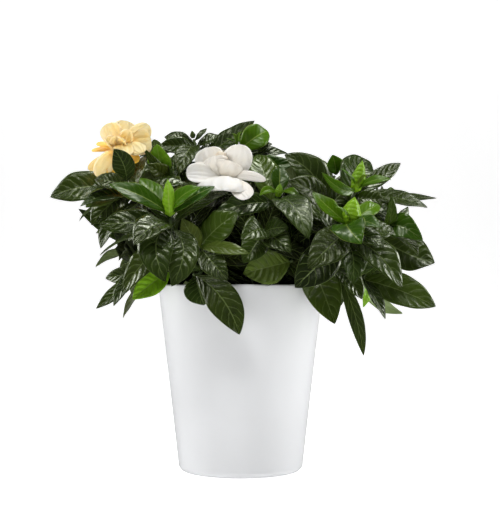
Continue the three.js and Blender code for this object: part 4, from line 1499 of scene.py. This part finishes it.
@dataclass(frozen=True)
class Soil:
    """The soil: a low dome with lumps, which fills the pot to below its rim."""

    dome: float = 3.0
    floor: float = 4.8
    gap: float = 5.0
    corner: float = 12.0
    middle: tuple[float, float] = (20.0, 0.4)
    lumps: tuple[float, float] = (-1.1, 0.3)
    sides: int = 96
    rings: int = 30
    tint: Colour = (0.03, 0.02, 0.01)

    def make(self, rng: np.random.Generator) -> None:
        """Makes the piece. The top's height is a dome plus small random lumps, which fade out in the middle.

        Args:
            rng: The numbers for the lumps.
        """
        skin = Skin()
        edge, angle = pot_radius(SOIL_TOP) - self.gap, around(self.sides)
        foot, wall = pot_radius(self.floor) - self.corner, pot_radius(self.corner) - self.gap
        side = np.array([[self.middle[0], self.floor], [foot, self.floor], [wall, self.corner]])
        radius = np.concatenate([side[:, 0], np.linspace(edge, self.middle[1], self.rings)])[:, None]
        share = np.linspace(1, 0, self.rings)
        height = np.concatenate([side[:, 1], SOIL_TOP + self.dome * (1 - share**2)])[:, None]
        lumps = np.zeros((len(radius), self.sides))
        lumps[4:] = rng.uniform(*self.lumps, (self.rings - 1, self.sides)) * smooth(0, 0.2, radius[4:] / edge)
        rings = grid(radius * np.cos(angle), radius * np.sin(angle), height + lumps)
        uv = grid(angle[None, :] / 7, share.mean() + 0 * height)
        ends = (np.array([0, 0, self.floor]), np.array([0, 0, SOIL_TOP + self.dome]))
        skin.add_tube(rings, ends, uv, (self.tint, self.tint))
        skin.piece("potting_soil", (SoilFinish().build(),), "soil", "soil")


@dataclass(frozen=True)
class Light:
    """A soft rectangular light: its place and aim in metres, its width and height, and its power in watts."""

    name: str
    place: Place
    aim: Place
    size: tuple[float, float]
    watts: float

    def make(self) -> None:
        """Makes the light."""
        data = bpy.data.lights.new(self.name, "AREA")
        data.shape = "RECTANGLE"
        data.size, data.size_y = self.size
        data.energy = self.watts
        lamp = bpy.data.objects.new(self.name, data)
        lamp.location = self.place
        lamp.rotation_euler = (Vector(self.place) - Vector(self.aim)).to_track_quat("Z", "Y").to_euler()
        lamp.visible_camera = False
        bpy.context.scene.collection.objects.link(lamp)


LIGHTS = (
    Light("left", (-1.4, 0.35, 0.65), (0, 0, 0.12), (0.4, 1.0), 15),
    Light("right", (1.4, 0.35, 0.55), (0, 0, 0.1), (0.4, 1.0), 17),
    Light("front", (-0.4, -0.95, 1.7), (0, 0, 0.2), (0.4, 0.3), 16),
    Light("top", (0.2, 0.1, 1.6), (0, 0, 0.2), (0.5, 0.4), 12),
)


@dataclass(frozen=True)
class Studio:
    """A white sweep, soft lights and the camera in front."""

    centre: tuple[float, float] = (7.9, 176.8)
    view_height: float = 445.4
    sensor: float = 36.0
    ambient: float = 0.04
    glow: float = 0.59
    half_width: float = 5.0
    before: float = -3.5
    behind: float = 2.0
    bend: float = 1.2
    top: float = 4.0

    def camera(self) -> None:
        """Makes the level camera; a small shift puts the picture's middle where the photo has it."""
        data = bpy.data.cameras.new("camera")
        data.sensor_width = self.sensor
        data.lens = self.sensor * EYE_DISTANCE / self.view_height
        data.shift_x = self.centre[0] / self.view_height
        data.shift_y = (self.centre[1] - EYE_HEIGHT) / self.view_height
        data.clip_start, data.clip_end = 0.05, 50.0
        camera = bpy.data.objects.new("camera", data)
        camera.location = (0.0, -EYE_DISTANCE * MM, EYE_HEIGHT * MM)
        camera.rotation_euler = (math.pi / 2, 0.0, 0.0)
        bpy.context.scene.collection.objects.link(camera)
        bpy.context.scene.camera = camera

    def sweep(self) -> None:
        """Makes the floor and backdrop: flat in front, curved up behind, as a profile drawn out sideways."""
        rise = arc((self.behind, self.bend), self.bend, -90, 0, 24)
        profile = np.concatenate([[[self.before, 0.0]], rise, [[self.behind + self.bend, self.top]]])
        sides = np.array([[-self.half_width, self.half_width]])
        points = grid(sides, profile[:, :1], profile[:, 1:]).reshape(-1, 3)
        index = np.arange(len(profile) * 2).reshape(-1, 2)
        faces = np.stack([index[:-1, 0], index[:-1, 1], index[1:, 1], index[1:, 0]], axis=-1)
        mesh = bpy.data.meshes.new("sweep")
        mesh.from_pydata(points.tolist(), [], faces.tolist())
        mesh.polygons.foreach_set("use_smooth", np.ones(len(faces), dtype=bool))
        mesh.materials.append(self.paper())
        sweep = bpy.data.objects.new("sweep", mesh)
        bpy.context.scene.collection.objects.link(sweep)
        sweep.visible_glossy = False

    def paper(self) -> bpy.types.Material:
        """Wires the sweep's plain pale paper.

        Returns:
            The material.
        """
        g = Graph("white_paper")
        base = g.mix(g.noise(300.0), (0.93, 0.93, 0.93), (0.95, 0.95, 0.95))
        return g.dress(Base_Color=base, Roughness=0.9, Emission_Color=(1, 1, 1), Emission_Strength=self.glow)

    def world(self) -> None:
        """Sets an even white surrounding light."""
        world = bpy.data.worlds.new("world")
        world.use_nodes = True
        background = world.node_tree.nodes["Background"]
        background.inputs[0].default_value = (1, 1, 1, 1)
        background.inputs[1].default_value = self.ambient
        bpy.context.scene.world = world
        bpy.context.scene.view_settings.view_transform = "Standard"

    def make(self) -> None:
        """Makes the whole studio."""
        self.camera()
        self.sweep()
        self.world()
        for light in LIGHTS:
            light.make()


def build_plant(solids: Solids) -> None:
    """Builds the stems with their leaves, the young tips and the blooms.

    Args:
        solids: The frame's vertices, which say where each leaf lies.
    """
    leaf = LeafFinish("gardenia_leaf").build()
    lime = LeafFinish("young_gardenia_leaf", quilt=0.3, vein_share=0.07, midrib_share=0.35,
                      vein_and_rim_highlight_colour=(0.42, 0.52, 0.12), gloss=(0.21, 0.35), sheen=0.26).build()
    finishes = (leaf, BarkFinish().build())
    draw, rule, inner = drawn(20), Whorls(), Inner()
    built = []
    for number, stem in enumerate(STEMS):
        leafy = LeafyStem(stem, solids, finishes, np.random.default_rng(100 + number))
        leafy.add_wood()
        leafy.add_placed()
        built.append(leafy)
    for leafy in built:
        log.info("%s: %d leaves by rule", leafy.node, leafy.add_whorls(rule, draw))
        log.info("%s: %d inner leaves", leafy.node, leafy.add_inner(rule, inner))
        leafy.make()
    for number, (shoot, branch) in enumerate(pair for leafy in built for pair in leafy.branches()):
        rng = np.random.default_rng(300 + number)
        if shoot.bud:
            YoungTip(shoot, branch, solids, lime, rng).make()
        if shoot.bloom:
            BLOOMS[shoot.bloom].make(shoot.bloom.value, branch, rng)


def main() -> None:
    """Builds the classes in order around the frame."""
    logging.basicConfig(level=logging.INFO, format="%(message)s")
    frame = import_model()
    Pot().make()
    Soil().make(np.random.default_rng(7))
    build_plant(Solids.of(frame["nodes"]))
    Studio().make()


if __name__ == "__main__":
    main()
